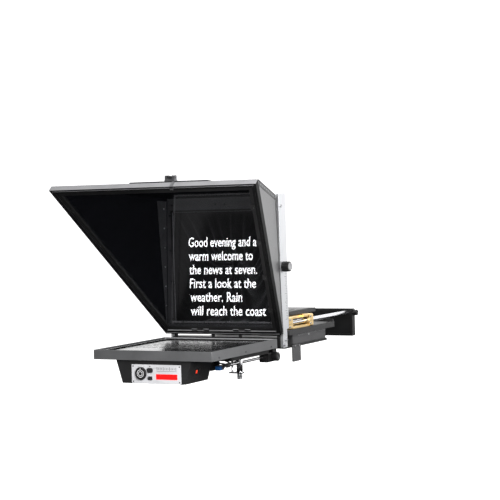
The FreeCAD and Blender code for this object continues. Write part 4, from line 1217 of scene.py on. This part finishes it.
def camera_plate_pads():
    """Rubber pads along the camera plate's edges and a scale."""
    lo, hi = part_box("camera_plate")
    pads, marks = bmesh.new(), bmesh.new()
    pad_width, pad_length, pad_gap, inset = 0.008, 0.0165, 0.003, 0.002
    for x in (lo.x + inset, hi.x - inset - pad_width):
        for k in range(12):
            y = lo.y + 0.012 + k * (pad_length + pad_gap)
            add_box(pads, (x, y, hi.z - 0.0002), (x + pad_width, y + pad_length, hi.z + 0.0007))
    piece("camera_plate_pads", pads, "black_rubber", "carriage", soften=0.0003)
    scale_x = 0.012
    for i in range(25):
        y = lo.y + 0.04 + i * SCALE_PITCH
        wide = tick(i, 0.005, 0.003)
        add_box(marks, (scale_x, y, hi.z - 0.0001), (scale_x + wide, y + 0.0004, hi.z + 0.00008))
    piece("camera_plate_scale", marks, "white_plastic", "carriage", flat=True)


def plate_scale():
    """Balance scale along the top plate's +X face and its index on the wedge."""
    lo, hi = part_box("top_plate")
    bm = bmesh.new()
    mid = lo.z + 0.006
    for i in range(41):
        y = -0.1 + i * SCALE_PITCH
        tall = tick(i, 0.005, 0.003)
        add_box(bm, (hi.x - 0.0001, y, mid), (hi.x + 0.0001, y + 0.0004, mid + tall))
    piece("balance_scale", bm, "cap_grey", "carriage", flat=True)
    wedge_hi = high("wedge_block")
    index = bmesh.new()
    x, z = wedge_hi.x, wedge_hi.z
    arrow = (Vector((x, -0.002, z - 0.009)), Vector((x, 0.002, z - 0.009)), Vector((x, 0.0, z - 0.004)))
    sheet(index, arrow, Vector((1, 0, 0)), 0.0001)
    piece("balance_index", index, "white_plastic", "base", flat=True)


def rear_plate_details():
    """Screws and rubber bumper on the rear plate."""
    lo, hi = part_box("rear_plate")
    screws, pads = bmesh.new(), bmesh.new()
    for x in (lo.x + 0.020, hi.x - 0.020):
        for z in (hi.z - 0.013, lo.z + 0.012):
            hex_screw(screws, Vector((x, hi.y, z)), (0, 1, 0), 0.0042, 0.002)
    piece("rear_plate_screws", screws, "steel_screws", "prompter")
    add_box(pads, (-0.03, hi.y - 0.0002, lo.z + 0.03), (0.03, hi.y + 0.0025, lo.z + 0.06))
    piece("rear_bumper", pads, "black_rubber", "prompter", soften=0.001)


def lever_grip():
    """Ribbed rubber sleeve on the balance lever's arm."""
    lo = low("balance_lever")
    bm = bmesh.new()
    for i in range(7):
        y = lo.y + 0.012 + i * 0.0045
        add_box(bm, (lo.x + 0.0014, y, 0.0168), (lo.x + 0.0096, y + 0.0026, 0.0272))
    piece("lever_grip_ribs", bm, "black_rubber", "balance_lock", soften=0.0006)


def clip_details():
    """Knurl ribs round the accessory clip's pin."""
    lo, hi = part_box("accessory_clip")
    bm = bmesh.new()
    y, z = lo.y + (hi.y - lo.y) * 0.55, hi.z - 0.005
    steps = 18
    for i in range(steps):
        a = 2 * math.pi * i / steps
        out = Vector((0, math.cos(a), math.sin(a)))
        side = Vector((0, -math.sin(a), math.cos(a))) * 0.0003
        foot = Vector((lo.x + 0.010, y, z)) + out * 0.0028
        sheet(bm, (foot - side, foot + side, foot + side + out * 0.0007, foot - side + out * 0.0007),
              Vector((1, 0, 0)), 0.014)
    piece("clip_knurl", bm, "dark_screws", "hood", flat=True)


def build():
    dress_cad()
    prompt_text()
    hood_trims()
    rim_details()
    corner_liners()
    opening_edges()
    lens_sleeve()
    sleeve_binding()
    all_knob_caps()
    upright_scales()
    panel_marks()
    dial_ribs()
    rocker_mark()
    monitor_details()
    monitor_under()
    plug_and_leads()
    gold_block_screws()
    camera_plate_pads()
    plate_scale()
    rear_plate_details()
    lever_grip()
    clip_details()


build()


# ---- camera, light, stage ----------------------------------------------------------------------------
FLOOR_Z = -0.62
SWEEP_FOOT, SWEEP_RADIUS = 3.0, 2.5      # where the floor starts to bend up, and its radius


def stage_floor():
    """White sweep that the camera sees, kept dark for the reflections and clear from below."""
    t = Tree("studio_sweep")
    path = t.node("LightPath").outputs
    floor_part = t.math("LESS_THAN", t.split("Object")["Z"], -0.35)
    tone = t.ramp(t.noise(1.2, 2.0), [(0.3, grey(0.86, (1, 1, 1))), (0.7, grey(0.9, (1, 1, 1)))])
    tone = t.mix(t.math("MULTIPLY", path["Is Diffuse Ray"], floor_part), tone, grey(0.22))
    tone = t.mix(t.math("MULTIPLY", path["Is Glossy Ray"], floor_part), tone, grey(0.001))
    seen = t.math("MAXIMUM", path["Is Camera Ray"], t.math("SUBTRACT", 1.0, floor_part))
    t.base(color=tone, rough=0.9, Specular_IOR_Level=0.0, Emission_Color=(1, 1, 1, 1),
           Emission_Strength=t.math("MULTIPLY", seen, 0.7))
    under = t.node("NewGeometry").outputs["Backfacing"]
    t.mix_shaders(under, t.bsdf.outputs[0], t.node("BsdfTransparent").outputs[0])
    bm = bmesh.new()
    bend = [(SWEEP_FOOT + SWEEP_RADIUS * math.sin(a), FLOOR_Z + SWEEP_RADIUS - SWEEP_RADIUS * math.cos(a))
            for a in np.linspace(0, math.pi / 2, 16)]
    profile = [(-9.0, FLOOR_Z)] + bend + [(SWEEP_FOOT + SWEEP_RADIUS, 9.0)]
    rows = [[bm.verts.new((x, y, z)) for x in (-14.0, 14.0)] for y, z in profile]
    for a, b in zip(rows, rows[1:]):
        bm.faces.new((a[0], a[1], b[1], b[0]))
    link_mesh("studio_sweep", bm, t.mat, True)


def area_light(name, place_at, aim, size, power, size_y=None):
    light = bpy.data.lights.new(name, "AREA")
    light.shape = "RECTANGLE"
    light.size = size
    light.size_y = size_y or size
    light.energy = power
    obj = bpy.data.objects.new(name, light)
    obj.location = place_at
    obj.rotation_euler = (Vector(aim) - Vector(place_at)).to_track_quat("-Z", "Y").to_euler()
    bpy.context.scene.collection.objects.link(obj)


def world_light():
    """White for the camera. For light, bright above the horizon and nearly black below it."""
    world = bpy.data.worlds.new("studio")
    bpy.context.scene.world = world
    t = Tree(world)
    camera_ray = t.node("LightPath").outputs["Is Camera Ray"]
    height = t.math("MULTIPLY_ADD", t.split("Generated")["Z"], 0.5, 0.5)
    sky = t.ramp(t.math("MAXIMUM", height, camera_ray), [(0.47, 0.02), (0.56, 1)])
    back = t.nodes["Background"]
    t.link(sky, back.inputs["Color"])
    t.link(t.math("MULTIPLY_ADD", camera_ray, 0.45, 0.68), back.inputs["Strength"])


CAMERA_AT = (2.3269, -4.6848, 0.4725)
AZIMUTH, ELEVATION, ROLL = (math.radians(v) for v in (27.6007, 1.8761, 1.7086))
LENS_MM = 117.6696


def camera():
    """The main view: right of the glass, just above level, rolled a little."""
    back = Vector((math.sin(AZIMUTH) * math.cos(ELEVATION), -math.cos(AZIMUTH) * math.cos(ELEVATION),
                   math.sin(ELEVATION)))
    right = Vector((math.cos(AZIMUTH), math.sin(AZIMUTH), 0))
    up = back.cross(right)
    x = right * math.cos(ROLL) - up * math.sin(ROLL)
    y = right * math.sin(ROLL) + up * math.cos(ROLL)
    data = bpy.data.cameras.new("camera")
    data.sensor_width = 36.0
    data.lens = LENS_MM
    data.clip_end = 100.0
    cam = bpy.data.objects.new("camera", data)
    turn = Matrix((x, y, back)).transposed().to_4x4()
    cam.matrix_world = Matrix.Translation(CAMERA_AT) @ turn
    bpy.context.scene.collection.objects.link(cam)
    bpy.context.scene.camera = cam


def lights():
    """Key and side light from the right, a weak fill, and light from the front, behind and above."""
    area_light("key", (2.6, -2.6, 2.6), (0, -0.5, 0.2), 1.6, 70)
    area_light("side", (3.4, 0.4, 1.2), (0.2, -0.4, 0.2), 1.4, 45, 2.2)
    area_light("fill", (-2.8, -2.8, 1.6), (0, -0.5, 0.1), 2.0, 6)
    area_light("front", (0.8, -1.6, 0.4), (0.15, -0.84, 0.04), 0.4, 14)
    area_light("rim", (-1.0, 2.2, 2.6), (0, -0.3, 0.3), 1.6, 50)
    area_light("top", (0.0, -0.6, 3.2), (0, -0.5, 0.2), 2.2, 45)


stage_floor()
world_light()
camera()
lights()
bpy.context.scene.view_settings.view_transform = "Standard"
